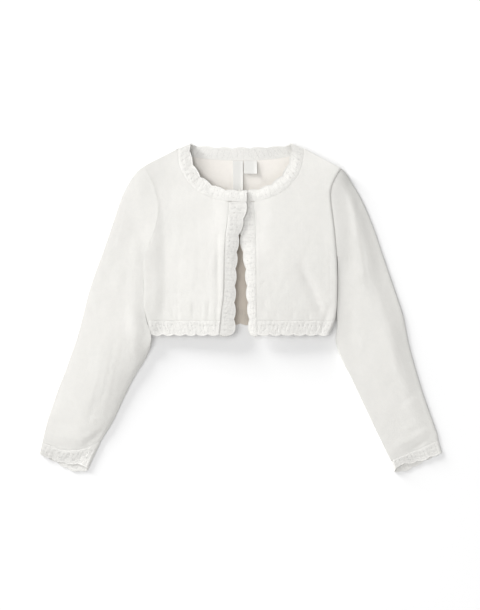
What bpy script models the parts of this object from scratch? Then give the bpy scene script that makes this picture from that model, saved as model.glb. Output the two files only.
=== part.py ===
"""A child's cropped cardigan in fine knit, laid flat on its back with its sleeves down beside it.

X runs to the viewer's right, Y from the hem up to the neck, and Z up from the surface it lies on.
Right and left in the names are the wearer's, so the right front lies at -X. Sizes are in
millimetres, and the meshes are written in metres. Every panel is a wall of cloth: an open sheet
laid out between its four seams, given its height by the way the garment lies, then thickened.
"""

import math
from collections import namedtuple

import bmesh
import bpy
from mathutils import Vector

MM = 0.001
CLOTH = 1.4
SEAM_GAP = 0.35
SIDE_FADE = 6
SIGN = {"right": -1, "left": 1}

# Body, measured from the middle of the whole garment as it lies
HEM_SEAM_Y = -17.0
FRONT_HEM_Y = -37.5
BACK_HEM_RISE = 14.5
UNDERARM_Y = 70.0
NECK_SEAM_TOP = Vector((85.0, 215.0))
NECK_EDGE_TOP = Vector((67.5, 222.0))
NECK_SEAM_DROP_FRONT = 72.2
NECK_EDGE_DROP_FRONT = 63.0
NECK_SEAM_DROP_BACK = 16.0
NECK_EDGE_DROP_BACK = 5.0
NECK_ROUNDNESS_FRONT = 2.3
NECK_ROUNDNESS_BACK = 2.1
SHOULDER_POINT = {"right": Vector((129.3, 192.0)), "left": Vector((135.3, 188.0))}

# How high the front layer lies above the surface. A pair of Y values is where something starts and
# where it is complete.
SEAT = CLOTH + SEAM_GAP + 1.0
RIM_LOFT = 10.0
CROWN_LOFT = 8.0
CROWN_AT_NECK = 0.15
CROWN_Y = (205.0, 90.0)
BODY_HALF_WIDTH = 130.0
SIDE_RADIUS = 6.0
SHOULDER_RADIUS = 7.0
ARMHOLE_RADIUS = {"right": 9.0, "left": 4.5}
ARMHOLE_RADIUS_Y = (60.0, 100.0)
ARMHOLE_LIFT = {"right": 7.6, "left": 4.6}
ARMHOLE_LIFT_SHAPE = {"right": 0.25, "left": 0.4}
HEM_SAG = 2.5
HEM_SAG_TOP = 5.0
FOLD_END = 0.4

# Where the two free edges cross, and how they droop into the gap below
CLOSURE_STEP = {"right": 1.3, "left": -1.3}
CLOSURE_X = (42.0, 16.0)
CLOSURE_Y = (60.0, 90.0)
EDGE_DROOP = {"right": 5.5, "left": 7.0}
EDGE_LEDGE = {"right": 1.2, "left": 0.0}
EDGE_LEDGE_Y = (98.0, 78.0)
DROOP_Y = (112.0, 60.0)
DROOP_START = 0.15
DROOP_LIMIT = 1.4
DROOP_SHAPE = 1.6
EDGE_SEAM_GAP = 0.5
EDGE_CORNER_RADIUS = 14.0
EDGE_CORNER_WIDTH = 0.25

# Sleeves
SLEEVE_EDGE_RADIUS = 3.4
SLEEVE_TOP_ROUND = 1.6
SLEEVE_SEAM_RADIUS = {"right": 10.0, "left": 12.0}
SLEEVE_BODY_GAP = 0.8
ARMHOLE_GAP = 0.45
SLEEVE_LENGTH = 260.0
SLEEVE_HEAD = 0.14
SLEEVE_HEAD_SHAPE = 0.6
SLEEVE_SEAM_LEVEL = 4.4
CUFF_LEDGE = 1.2

# Scalloped trim
SCALLOP_DEPTH = 2.6
SCALLOP_FULLNESS = 0.7
SCALLOP_MEAN = 0.55
NECK_FRONT_SCALLOPS = 6
NECK_BACK_SCALLOPS = 6
EDGE_SCALLOPS = 8
HEM_SCALLOPS = 6
BACK_HEM_SCALLOPS = 14
CUFF_SCALLOPS = 4
STEPS_PER_SCALLOP = 4

LABEL_THICKNESS = 0.8

# The grids: close rows inside a rounded border, as angles of its quarter round, and how far past the
# border the next even row may lie. Borders and edge steps are fractions of a panel.
BORDER_ANGLES = (32, 60)
BORDER_CLEAR = 1.3
FRONT_SIDE_BORDER = 0.06
FRONT_SHOULDER_BORDER = 0.04
SLEEVE_TOP_BORDER = 0.05
SLEEVE_UNDER_BORDER = 0.035
SLEEVE_HEAD_BORDER = 0.04
NECK_FOLD_STEPS = [0.0, 0.008, 0.022]
CUFF_FOLD_STEPS = [0.006, 0.025]
HEM_SIDE_STEPS = [0.975, 0.993, 1.0]
EDGE_CORNER_STEP = 0.012
NECK_POINTS = 18
NECK_FOOT_CLEAR = 2.0
NECK_END_CLEAR = 4.0
MERGE = 0.01

KNIT_COLOUR = (0.84, 0.83, 0.79, 1.0)
TRIM_COLOUR = (0.86, 0.85, 0.81, 1.0)
LABEL_COLOUR = (0.88, 0.88, 0.86, 1.0)

# The body's outer edge on each side: y, and how far out it lies
EdgeRow = namedtuple("EdgeRow", "y reach")
BODY_EDGE = {
    "right": [
        EdgeRow(-37.5, 119.5),
        EdgeRow(-17, 126),
        EdgeRow(0, 129.5),
        EdgeRow(30, 130.6),
        EdgeRow(55, 130.6),
        EdgeRow(70, 129),
        EdgeRow(85, 123.5),
        EdgeRow(100, 117.5),
        EdgeRow(116, 113),
        EdgeRow(132, 111),
        EdgeRow(148, 112.3),
        EdgeRow(168, 119),
        EdgeRow(192, 129.3),
    ],
    "left": [
        EdgeRow(-37.5, 118.5),
        EdgeRow(-17, 126.6),
        EdgeRow(0, 129.6),
        EdgeRow(30, 130.6),
        EdgeRow(60, 130),
        EdgeRow(85, 128.4),
        EdgeRow(110, 126),
        EdgeRow(130, 123.5),
        EdgeRow(148, 121.5),
        EdgeRow(160, 122),
        EdgeRow(172, 126.2),
        EdgeRow(188, 135.3),
    ],
}

# The strip down each front's free edge: its seam and the middle of its scalloped edge, as x at each y
StripRow = namedtuple("StripRow", "y seam edge")
FRONT_EDGE = {
    "right": [
        StripRow(-37.5, -29.4, -8.5),
        StripRow(-17, -27.5, -8),
        StripRow(20, -23.5, -7.5),
        StripRow(60, -22.6, -5.7),
        StripRow(95, -21, -2.4),
        StripRow(120, -17.5, 4.5),
        StripRow(143, -15.5, 8.4),
        StripRow(160, -15.5, 8.4),
    ],
    "left": [
        StripRow(-37.5, 22.5, 11),
        StripRow(-17, 22, 10.5),
        StripRow(13, 21.3, 8.4),
        StripRow(56, 21, 5.7),
        StripRow(95, 20.4, 1.4),
        StripRow(120, 19.4, -1),
        StripRow(143, 17.5, -3),
        StripRow(160, 17.5, -3.7),
    ],
}

# Each sleeve's outer and inner edge in plan, from the body down to the cuff seam, as (reach, y)
SLEEVE_OUTER = {
    "right": [(136.5, 188), (148.5, 178), (157.5, 158), (168, 128), (181.2, 89), (194, 54.3), (205.5, 20),
              (218.4, -30), (232, -70.5), (247.4, -111), (261, -151), (268.2, -180)],
    "left": [(140, 185.6), (146.5, 180), (153.5, 165), (166.4, 139.4), (179.9, 106.3), (192.7, 68.5), (205.5, 31.4),
             (219, -9.8), (228, -53), (244.7, -111), (263.6, -165), (266.6, -178.4)],
}
SLEEVE_INNER = {
    "right": [(130.5, -22), (132, -43.5), (140.7, -70.5), (154.9, -97.5), (167, -124.5), (178, -155), (188.2, -179)],
    "left": [(130.2, -24), (128.6, -46), (135.3, -67.8), (148, -93), (161, -120.5), (174.5, -148.8), (188, -177.2),
             (202, -205.5)],
}
SLEEVE_INNER_START_Y = (70, 45, 20, -3)
CUFF_SEAM_BULGE = {"right": 12.3, "left": 0.5}
CUFF_SEAM_GAP = {"right": 0.65, "left": 0.4}
CUFF_OUTER_END = {"right": Vector((271.6, -196.8)), "left": Vector((271.6, -195.5))}
CUFF_INNER_END = {"right": Vector((207.0, -219.5)), "left": Vector((207.0, -221.2))}
CUFF_END_BULGE = {"right": 2.6, "left": 0.8}

# Near its inner edge a cuff's upper layer draws back and its lower layer shows below it
CUFF_DRAW_BACK = 5.5
CUFF_DRAW_BACK_SHAPE = 4.0
CUFF_UNDERLAP = {"right": 5.5, "left": 4.5}
CUFF_UNDERLAP_SHAPE = 2.2

# How a sleeve's top lies along its length: the height of its crest, where the crest is across it, and
# how far it falls from there to its edges
SleeveRow = namedtuple("SleeveRow", "along height crest fall")
SLEEVE_LOFT = {
    "right": [
        SleeveRow(0.0, 12.5, 0.5, 0.3),
        SleeveRow(0.25, 14.0, 0.5, 0.36),
        SleeveRow(0.5, 14.0, 0.4, 0.42),
        SleeveRow(0.75, 12.5, 0.36, 0.42),
        SleeveRow(1.0, 9.8, 0.4, 0.4),
    ],
    "left": [
        SleeveRow(0.0, 12.5, 0.6, 0.35),
        SleeveRow(0.15, 13.5, 0.74, 0.42),
        SleeveRow(0.3, 14.2, 0.72, 0.45),
        SleeveRow(0.5, 14.0, 0.62, 0.42),
        SleeveRow(0.75, 12.8, 0.5, 0.38),
        SleeveRow(1.0, 10.0, 0.5, 0.38),
    ],
}

# Troughs in the cloth: ends, half width and depth
Fold = namedtuple("Fold", "x0 y0 x1 y1 width depth")
FRONT_FOLDS = {
    "right": [
        Fold(-122, 100, -122, -10, 7.0, -0.9),
        Fold(-106, 168, -110, 96, 6.0, 0.8),
        Fold(-110, 104, -108, -12, 6.0, 1.0),
        Fold(-36, 98, -34, -30, 3.5, 1.2),
        Fold(-88, 2, -84, -18, 4.0, 0.8),
        Fold(-60, 4, -56, -16, 4.0, 0.8),
        Fold(-72, 90, -66, 20, 12.0, -0.5),
    ],
    "left": [
        Fold(82, 56, 106, 0, 8.0, 2.0),
        Fold(104, 6, 112, -12, 5.0, 1.2),
        Fold(32, 6, 50, -14, 4.5, 0.8),
        Fold(60, 110, 66, 30, 14.0, -0.5),
        Fold(118, 0, 110, -30, 4.0, 1.2),
    ],
}
SLEEVE_FOLDS = {
    "right": [
        Fold(-172, 60, -188, 0, 10.0, 0.8),
        Fold(-240, -118, -212, -140, 6.0, 0.8),
        Fold(-186, -110, -204, -150, 6.0, 0.8),
        Fold(-187, -166, -208, -182, 4.0, 2.0),
        Fold(-142, 40, -150, -20, 8.0, 0.6),
    ],
    "left": [
        Fold(156, 150, 164, 60, 6.0, 1.0),
        Fold(186, 40, 208, -44, 7.0, 1.2),
        Fold(208, -40, 220, -98, 7.0, 1.2),
        Fold(236, -114, 212, -132, 5.0, 0.6),
        Fold(146, 20, 150, -50, 8.0, 0.6),
    ],
}


def clamp01(value):
    return min(1.0, max(0.0, value))


def ease(low, high, value):
    """0 below `low`, 1 above `high`, and a smooth rise between them; low may be the larger."""
    t = clamp01((value - low) / (high - low))
    return t * t * (3 - 2 * t)


def mix(a, b, t):
    return a + (b - a) * t


def rounded(distance, radius):
    """The quarter round of a folded edge: 0 at the edge, 1 from `radius` inwards."""
    t = clamp01(distance / radius)
    return math.sqrt(1 - (1 - t) ** 2)


def spline(before, a, b, after, t):
    """Catmull-Rom between a and b."""
    return 0.5 * (
        2 * a + (b - before) * t + (2 * before - 5 * a + 4 * b - after) * t ** 2
        + (3 * a - before - 3 * b + after) * t ** 3
    )


def lookup(rows, key, value, at):
    """A table's `value` column at `at` in its `key` column, smooth between the rows."""
    keys = [getattr(row, key) for row in rows]
    values = [getattr(row, value) for row in rows]
    i = 0
    while i < len(rows) - 2 and at > keys[i + 1]:
        i += 1
    t = clamp01((at - keys[i]) / (keys[i + 1] - keys[i]))
    before = values[i - 1] if i > 0 else 2 * values[i] - values[i + 1]
    after = values[i + 2] if i + 2 < len(rows) else 2 * values[i + 1] - values[i]
    return spline(before, values[i], values[i + 1], after, t)


def path(points):
    """A smooth curve through the points, as a function of the fraction of its length."""
    points = [Vector(p) for p in points]
    first = points[0] * 2 - points[1]
    last = points[-1] * 2 - points[-2]
    padded = [first] + points + [last]
    lengths = [0.0]
    for a, b in zip(points, points[1:]):
        lengths.append(lengths[-1] + (b - a).length)

    def at(fraction):
        goal = fraction * lengths[-1]
        i = 0
        while i < len(points) - 2 and goal > lengths[i + 1]:
            i += 1
        t = (goal - lengths[i]) / (lengths[i + 1] - lengths[i])
        return spline(padded[i], padded[i + 1], padded[i + 2], padded[i + 3], t)

    return at


def joined(parts):
    """Several curves end to end as one, with the fractions at which they meet."""
    samples = 40
    lengths = []
    for part in parts:
        points = [part(i / samples) for i in range(samples + 1)]
        lengths.append(sum((b - a).length for a, b in zip(points, points[1:])))
    breaks = [sum(lengths[:i]) / sum(lengths) for i in range(len(parts) + 1)]

    def at(fraction):
        i = 0
        while i < len(parts) - 1 and fraction > breaks[i + 1]:
            i += 1
        return parts[i]((fraction - breaks[i]) / (breaks[i + 1] - breaks[i]))

    return at, breaks


def line(a, b):
    return lambda t: mix(a, b, t)


def patch(start, end, low, high):
    """A panel between four seams: u runs from start to end, v from low to high.

    The threads run straight from the low seam to the high one, and bend only near the side seams.
    """
    def at(u, v):
        start_bend = start(v) - mix(low(0), high(0), v)
        end_bend = end(v) - mix(low(1), high(1), v)
        straight = mix(low(u), high(u), v)
        return straight + start_bend * (1 - u) ** SIDE_FADE + end_bend * u ** SIDE_FADE

    return at


def steps(counts, breaks=(0.0, 1.0), start_border=0.0, end_border=0.0):
    """Fractions from 0 to 1: even between the breaks, with close ones inside a rounded border."""
    close = [1 - math.cos(math.radians(angle)) for angle in BORDER_ANGLES]
    found = [0.0]
    for count, low, high in zip(counts, breaks, breaks[1:]):
        found += [mix(low, high, (i + 1) / count) for i in range(count)]
    if start_border:
        inner = [f for f in found if f > BORDER_CLEAR * start_border]
        found = [0.0] + [start_border * c for c in close] + [start_border] + inner
    if end_border:
        inner = [f for f in found if f < 1 - BORDER_CLEAR * end_border]
        found = inner + [1 - end_border] + [1 - end_border * c for c in reversed(close)] + [1.0]
    return found


def material(name, colour):
    made = bpy.data.materials.new(name)
    made.use_nodes = True
    shader = made.node_tree.nodes["Principled BSDF"]
    shader.inputs["Base Color"].default_value = colour
    shader.inputs["Roughness"].default_value = 0.9
    shader.inputs["Metallic"].default_value = 0.0
    made.diffuse_color = colour
    return made


def sheet(name, columns, rows, place, finish, faces_up=True, closed=False, thickness=CLOTH):
    """A wall of cloth on the grid of columns and rows; place(column, row) gives its outer surface."""
    bm = bmesh.new()
    bmesh.ops.create_grid(bm, x_segments=len(columns) - 1, y_segments=len(rows) - 1, size=1.0)
    bm.verts.ensure_lookup_table()
    for index, vert in enumerate(bm.verts):
        row, column = divmod(index, len(columns))
        vert.co = Vector(place(columns[column], rows[row])) * MM
    if closed:
        bmesh.ops.remove_doubles(bm, verts=bm.verts, dist=MERGE * MM)
    bm.normal_update()
    highest = max(bm.faces, key=lambda face: face.calc_center_median().z * abs(face.normal.z))
    if (highest.normal.z > 0) != faces_up:
        bmesh.ops.reverse_faces(bm, faces=bm.faces)
    mesh = bpy.data.meshes.new(name)
    bm.to_mesh(mesh)
    bm.free()
    mesh.shade_smooth()
    made = bpy.data.objects.new(name, mesh)
    made.data.materials.append(finish)
    collection.objects.link(made)
    made.parent = origin
    wall = made.modifiers.new("Wall", "SOLIDIFY")
    wall.thickness = thickness * MM
    wall.offset = -1
    return made


def reach_at(side, y):
    return lookup(BODY_EDGE[side], "y", "reach", y)


def on_side(side, x, y):
    return Vector((SIGN[side] * x, y))


def shoulder_point(side):
    return on_side(side, SHOULDER_POINT[side].x, SHOULDER_POINT[side].y)


def body_edge(side, y):
    return Vector((SIGN[side] * reach_at(side, y), y))


def shoulder_line_y(side, x):
    """The shoulder fold, on past the neck seam to the neck's highest point."""
    tip = SHOULDER_POINT[side]
    outer = NECK_SEAM_TOP if abs(x) < NECK_SEAM_TOP.x else tip
    inner = NECK_EDGE_TOP if abs(x) < NECK_SEAM_TOP.x else NECK_SEAM_TOP
    return mix(inner.y, outer.y, (abs(x) - inner.x) / (outer.x - inner.x))


def relief(folds, x, y):
    """How far the troughs lower the cloth at a point."""
    total = 0.0
    for fold in folds:
        start = Vector((fold.x0, fold.y0))
        run = Vector((fold.x1, fold.y1)) - start
        offset = Vector((x, y)) - start
        along = clamp01(offset.dot(run) / run.length_squared)
        distance = (offset - run * along).length
        taper = mix(FOLD_END, 1.0, math.sin(math.pi * along))
        total += fold.depth * taper * math.exp(-((distance / fold.width) ** 2))
    return total


def armhole_level(side, y):
    """Height of the front layer at its outer edge: down on the back, but lifted along the armhole."""
    tip_y = SHOULDER_POINT[side].y
    around = clamp01((y - UNDERARM_Y) / (tip_y - UNDERARM_Y))
    return SEAT + ARMHOLE_LIFT[side] * math.sin(math.pi * around) ** ARMHOLE_LIFT_SHAPE[side]


def front_height(side, x, y):
    """The top of the front layer over any point of the body."""
    centre = math.cos(math.pi / 2 * clamp01(abs(x) / BODY_HALF_WIDTH))
    length = mix(CROWN_AT_NECK, 1.0, ease(*CROWN_Y, y))
    loft = RIM_LOFT + CROWN_LOFT * centre * length
    loft -= HEM_SAG * ease(HEM_SAG_TOP, FRONT_HEM_Y, y)
    loft += CLOSURE_STEP[side] * ease(*CLOSURE_X, abs(x)) * ease(*CLOSURE_Y, y)
    seam = lookup(FRONT_EDGE[side], "y", "seam", y)
    edge = lookup(FRONT_EDGE[side], "y", "edge", y)
    past_seam = max(0.0, (x - seam) / (edge - seam) - DROOP_START)
    loft -= EDGE_DROOP[side] * ease(*DROOP_Y, y) * min(past_seam, DROOP_LIMIT) ** DROOP_SHAPE
    loft -= relief(FRONT_FOLDS[side], x, y)
    level = armhole_level(side, y)
    radius = mix(SIDE_RADIUS, ARMHOLE_RADIUS[side], ease(*ARMHOLE_RADIUS_Y, y))
    height = mix(level, loft, rounded(reach_at(side, y) - abs(x), radius))
    return mix(SEAT, height, rounded(shoulder_line_y(side, x) - y, SHOULDER_RADIUS))


def neck_curve(top, drop, roundness, gap=0.0):
    """Half of a neck curve, from the shoulder fold round to the middle, on the +X side."""
    points = []
    for i in range(NECK_POINTS + 1):
        angle = math.pi / 2 * i / NECK_POINTS
        x = (top.x - gap) * math.cos(angle) ** (2 / roundness)
        y = top.y - (drop - gap) * math.sin(angle) ** (2 / roundness)
        points.append(Vector((x, y)))
    return points


def mirrored(side, points):
    return [Vector((SIGN[side] * p.x, p.y)) for p in points]


def scallop(turns):
    """0 at the notches, which lie at whole turns, and 1 at the tips."""
    return abs(math.sin(math.pi * turns)) ** SCALLOP_FULLNESS


def hem_rise(x):
    """The back's hem is gathered up a little in the middle."""
    return BACK_HEM_RISE * math.cos(math.pi / 2 * clamp01(abs(x) / BODY_HALF_WIDTH)) ** 2


def make_back(knit):
    """The back panel, flat on the surface."""
    def hem(u):
        x = mix(-reach_at("right", HEM_SEAM_Y), reach_at("left", HEM_SEAM_Y), u)
        return Vector((x, HEM_SEAM_Y + hem_rise(x)))

    half = neck_curve(NECK_SEAM_TOP, NECK_SEAM_DROP_BACK, NECK_ROUNDNESS_BACK)
    neck = mirrored("right", half) + half[-2::-1]
    top, breaks = joined([
        line(shoulder_point("right"), neck[0]),
        path(neck),
        line(neck[-1], shoulder_point("left")),
    ])
    plan = patch(
        lambda v: body_edge("right", mix(HEM_SEAM_Y, SHOULDER_POINT["right"].y, v)),
        lambda v: body_edge("left", mix(HEM_SEAM_Y, SHOULDER_POINT["left"].y, v)),
        hem,
        top,
    )

    def place(u, v):
        point = plan(u, v)
        return (point.x, point.y, 0.0)

    sheet("back", steps((4, 26, 4), breaks), steps((16,)), place, knit, faces_up=False)


def make_front(side, knit):
    """One front panel, from its edge strip's seam out to the side, and from the hem up to the shoulder."""
    def strip_seam(v):
        y = mix(HEM_SEAM_Y, neck_foot.y, v)
        return Vector((lookup(FRONT_EDGE[side], "y", "seam", y), y))

    half = neck_curve(NECK_SEAM_TOP, NECK_SEAM_DROP_FRONT, NECK_ROUNDNESS_FRONT)
    foot_x = abs(lookup(FRONT_EDGE[side], "y", "seam", half[-1].y))
    neck_foot = on_side(side, foot_x, half[-1].y)
    neck = [neck_foot] + [p for p in mirrored(side, half[::-1]) if abs(p.x) > foot_x + NECK_FOOT_CLEAR]
    top, breaks = joined([path(neck), line(neck[-1], shoulder_point(side))])
    plan = patch(
        strip_seam,
        lambda v: body_edge(side, mix(HEM_SEAM_Y, SHOULDER_POINT[side].y, v)),
        lambda u: on_side(side, mix(abs(strip_seam(0).x), reach_at(side, HEM_SEAM_Y), u), HEM_SEAM_Y),
        top,
    )

    def place(u, v):
        point = plan(u, v)
        return (point.x, point.y, front_height(side, point.x, point.y))

    columns = steps((12, 4), breaks, end_border=FRONT_SIDE_BORDER)
    sheet("front_" + side, columns, steps((16,), end_border=FRONT_SHOULDER_BORDER), place, knit)


def make_edge_trim(side, trim):
    """The strip down a front's free edge, round at its lower corner."""
    top_y = neck_curve(NECK_SEAM_TOP, NECK_SEAM_DROP_FRONT, NECK_ROUNDNESS_FRONT)[-1].y - SEAM_GAP

    def place(w, v):
        y = mix(FRONT_HEM_Y, top_y, v)
        seam = lookup(FRONT_EDGE[side], "y", "seam", y) - SIGN[side] * EDGE_SEAM_GAP
        edge = lookup(FRONT_EDGE[side], "y", "edge", y)
        wave = SCALLOP_DEPTH * (scallop(v * EDGE_SCALLOPS) - SCALLOP_MEAN)
        corner = 1 - rounded(y - FRONT_HEM_Y, EDGE_CORNER_RADIUS)
        edge -= SIGN[side] * wave * (1 - corner)
        edge = mix(edge, mix(seam, edge, EDGE_CORNER_WIDTH), corner ** 2)
        x = mix(seam, edge, w)
        ledge = EDGE_LEDGE[side] * ease(*EDGE_LEDGE_Y, y)
        return (x, y, front_height(side, x, y) - ledge)

    count = EDGE_SCALLOPS * STEPS_PER_SCALLOP
    rows = [i / count for i in range(count + 1)]
    rows[1:1] = [EDGE_CORNER_STEP]
    sheet("edge_trim_" + side, [0, DROOP_START, 0.45, 0.75, 1], rows, place, trim)


def make_front_hem(side, trim):
    """The strip along a front's hem, from the edge strip's seam to the side."""
    def place(u, w):
        scalloped = SCALLOP_DEPTH * (1 - scallop(u * HEM_SCALLOPS)) / (HEM_SEAM_Y - FRONT_HEM_Y)
        y = mix(HEM_SEAM_Y - SEAM_GAP, FRONT_HEM_Y, w * (1 - scalloped))
        inner = abs(lookup(FRONT_EDGE[side], "y", "seam", y)) + SEAM_GAP
        x = SIGN[side] * mix(inner, reach_at(side, y), u)
        return (x, y, front_height(side, x, y))

    count = HEM_SCALLOPS * STEPS_PER_SCALLOP
    columns = [i / count for i in range(count + 1)]
    columns[-1:] = HEM_SIDE_STEPS
    sheet("hem_trim_" + side, columns, [0, 0.33, 0.67, 1], place, trim)


def make_back_hem(trim):
    """The strip along the back's hem, flat on the surface."""
    def place(u, w):
        scalloped = SCALLOP_DEPTH * (1 - scallop(u * BACK_HEM_SCALLOPS)) / (HEM_SEAM_Y - FRONT_HEM_Y)
        y = mix(HEM_SEAM_Y - SEAM_GAP, FRONT_HEM_Y, w * (1 - scalloped))
        x = mix(-reach_at("right", y), reach_at("left", y), u)
        return (x, y + hem_rise(x), 0.0)

    count = BACK_HEM_SCALLOPS * STEPS_PER_SCALLOP
    sheet("hem_trim_back", [i / count for i in range(count + 1)], [0, 0.5, 1], place, trim, faces_up=False)


def front_neck_end(side, y):
    """Where a front's neck strip ends: at the free edge of the front."""
    return lookup(FRONT_EDGE[side], "y", "edge", y)


def make_neck_trim(trim):
    """The strip round the neck: up the right front, over the fold, across the back, and down the left front."""
    def front_curve(side, edge, drop):
        gap = SEAM_GAP if edge is NECK_SEAM_TOP else 0.0
        points = mirrored(side, neck_curve(edge, drop, NECK_ROUNDNESS_FRONT, gap))
        end = Vector((front_neck_end(side, points[-1].y), points[-1].y))
        keep = [p for p in points if SIGN[side] * (p.x - end.x) > NECK_END_CLEAR]
        return path(keep + [end])

    def back_curve(edge, drop):
        gap = SEAM_GAP if edge is NECK_SEAM_TOP else 0.0
        half = neck_curve(edge, drop, NECK_ROUNDNESS_BACK, gap)
        return path(mirrored("right", half)[::2] + half[-3::-2])

    fronts = {
        side: (front_curve(side, NECK_SEAM_TOP, NECK_SEAM_DROP_FRONT),
               front_curve(side, NECK_EDGE_TOP, NECK_EDGE_DROP_FRONT))
        for side in SIGN
    }
    back = (back_curve(NECK_SEAM_TOP, NECK_SEAM_DROP_BACK), back_curve(NECK_EDGE_TOP, NECK_EDGE_DROP_BACK))
    front_count = NECK_FRONT_SCALLOPS * STEPS_PER_SCALLOP
    back_count = NECK_BACK_SCALLOPS * STEPS_PER_SCALLOP
    front_steps = NECK_FOLD_STEPS + [i / front_count for i in range(1, front_count + 1)]
    back_steps = [i / back_count for i in range(back_count + 1)]
    rows = [("right", f) for f in reversed(front_steps)]
    rows += [("back", f) for f in back_steps]
    rows += [("left", f) for f in front_steps]

    def place(w, row):
        layer, f = row
        seam, edge = back if layer == "back" else fronts[layer]
        count = NECK_BACK_SCALLOPS if layer == "back" else NECK_FRONT_SCALLOPS
        width = (edge(f) - seam(f)).length
        scalloped = SCALLOP_DEPTH * (1 - scallop(f * count + 0.5)) / width
        point = mix(seam(f), edge(f), w * (1 - scalloped))
        height = 0.0 if layer == "back" else front_height(layer, point.x, point.y)
        return (point.x, point.y, height)

    sheet("neck_trim", [0, 0.35, 0.7, 1], rows, place, trim)


def sleeve_plan(side):
    """A sleeve's two layers in plan: u from the armhole to the cuff seam, v from its outer edge to its inner."""
    tip = shoulder_point(side)
    aside = Vector((SIGN[side] * ARMHOLE_GAP, 0))
    outer = path([tip + aside] + [on_side(side, x, y) for x, y in SLEEVE_OUTER[side]])
    beside = [
        body_edge(side, y) + aside * mix(1.0, SLEEVE_BODY_GAP / ARMHOLE_GAP, i / 3)
        for i, y in enumerate(SLEEVE_INNER_START_Y)
    ]
    inner = path(beside + [on_side(side, x, y) for x, y in SLEEVE_INNER[side]])

    def at(u, v):
        armhole = body_edge(side, mix(tip.y, UNDERARM_Y, v)) + aside
        round_arm = math.sin(math.pi * v) ** SLEEVE_HEAD_SHAPE
        head = armhole + Vector((SIGN[side] * u * SLEEVE_LENGTH * round_arm, 0))
        chord = mix(outer(u), inner(u), v) - Vector((0, u * CUFF_SEAM_BULGE[side] * math.sin(math.pi * v)))
        return mix(head, chord, ease(0, SLEEVE_HEAD, u))

    return at


def sleeve_top(side, u, v, x, y):
    """Height of a sleeve's upper layer."""
    height = lookup(SLEEVE_LOFT[side], "along", "height", u)
    crest = lookup(SLEEVE_LOFT[side], "along", "crest", u)
    fall = lookup(SLEEVE_LOFT[side], "along", "fall", u)
    away = (v - crest) / (crest if v < crest else 1 - crest)
    loft = height * (1 - fall * away ** 2) - relief(SLEEVE_FOLDS[side], x, y)
    seam_level = max(SLEEVE_SEAM_LEVEL, armhole_level(side, y))
    from_seam = u * SLEEVE_LENGTH
    return mix(seam_level, loft, rounded(from_seam, SLEEVE_SEAM_RADIUS[side]))


def ring(top_steps, bottom_steps):
    """Stations round a flattened tube: over its top from the outer edge to the inner, and back underneath."""
    over = [("top", v) for v in top_steps]
    under = [("bottom", v) for v in reversed(bottom_steps)]
    return over + under[1:-1] + [("top", 0.0)]


def tube_height(layer, v, width, top):
    """Height on a flattened tube: its edges are half rounds, and its underside lies flat."""
    from_edge = min(v, 1 - v) * width
    if layer == "bottom":
        return SLEEVE_EDGE_RADIUS * (1 - rounded(from_edge, SLEEVE_EDGE_RADIUS))
    return mix(SLEEVE_EDGE_RADIUS, top, rounded(from_edge, SLEEVE_EDGE_RADIUS * SLEEVE_TOP_ROUND))


def make_sleeve(side, knit):
    """One sleeve, a flattened tube open at the armhole and at the cuff."""
    plan = sleeve_plan(side)

    def place(station, u):
        layer, v = station
        point = plan(u, v)
        width = (plan(u, 1) - plan(u, 0)).length
        top = sleeve_top(side, u, v, point.x, point.y)
        return (point.x, point.y, tube_height(layer, v, width, top))

    over = steps((12,), start_border=SLEEVE_TOP_BORDER, end_border=SLEEVE_TOP_BORDER)
    under = steps((8,), start_border=SLEEVE_UNDER_BORDER, end_border=SLEEVE_UNDER_BORDER)
    along = steps((20,), start_border=SLEEVE_HEAD_BORDER)
    sheet("sleeve_" + side, ring(over, under), along, place, knit, closed=True)


def make_cuff(side, trim):
    """The scalloped ring at a sleeve's end; its lower layer shows a little below the upper one."""
    plan = sleeve_plan(side)
    outer_end = on_side(side, CUFF_OUTER_END[side].x, CUFF_OUTER_END[side].y)
    inner_end = on_side(side, CUFF_INNER_END[side].x, CUFF_INNER_END[side].y)
    down = (outer_end - plan(1, 0)).normalized()

    def place(station, w):
        layer, v = station
        seam = plan(1, v) + down * CUFF_SEAM_GAP[side]
        bulge = CUFF_END_BULGE[side] * math.sin(math.pi * v)
        end = mix(outer_end, inner_end, v) + down * bulge
        turns = v * CUFF_SCALLOPS + (0.0 if layer == "top" else 0.5)
        notch = SCALLOP_DEPTH * (1 - scallop(turns)) * math.sin(math.pi * v) ** 0.5
        if layer == "bottom":
            beyond = CUFF_UNDERLAP[side] * math.sin(math.pi * v ** CUFF_UNDERLAP_SHAPE)
        else:
            beyond = -CUFF_DRAW_BACK * math.sin(math.pi * v ** CUFF_DRAW_BACK_SHAPE)
        reach = 1 + (beyond - notch) / (end - seam).length
        point = mix(seam, end, w * reach)
        width = (inner_end - outer_end).length
        top = sleeve_top(side, 1, v, plan(1, v).x, plan(1, v).y) - CUFF_LEDGE * math.sin(math.pi * v)
        return (point.x, point.y, tube_height(layer, v, width, top))

    count = CUFF_SCALLOPS * STEPS_PER_SCALLOP
    across = [i / count for i in range(count + 1)]
    across[1:1] = CUFF_FOLD_STEPS
    across[-1:-1] = [1 - step for step in reversed(CUFF_FOLD_STEPS)]
    sheet("cuff_trim_" + side, ring(across, across), [0, 0.5, 1], place, trim, closed=True)


def make_label(name, low_corner, high_corner, paint):
    """A label that lies on the inside of the back, its top at the neck seam."""
    def place(u, v):
        x = mix(low_corner[0], high_corner[0], u)
        y = mix(low_corner[1], high_corner[1], v)
        return (x, y, CLOTH + SEAM_GAP + LABEL_THICKNESS)

    sheet(name, [0, 0.5, 1], [0, 0.25, 0.5, 0.75, 1], place, paint, thickness=LABEL_THICKNESS)


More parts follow.
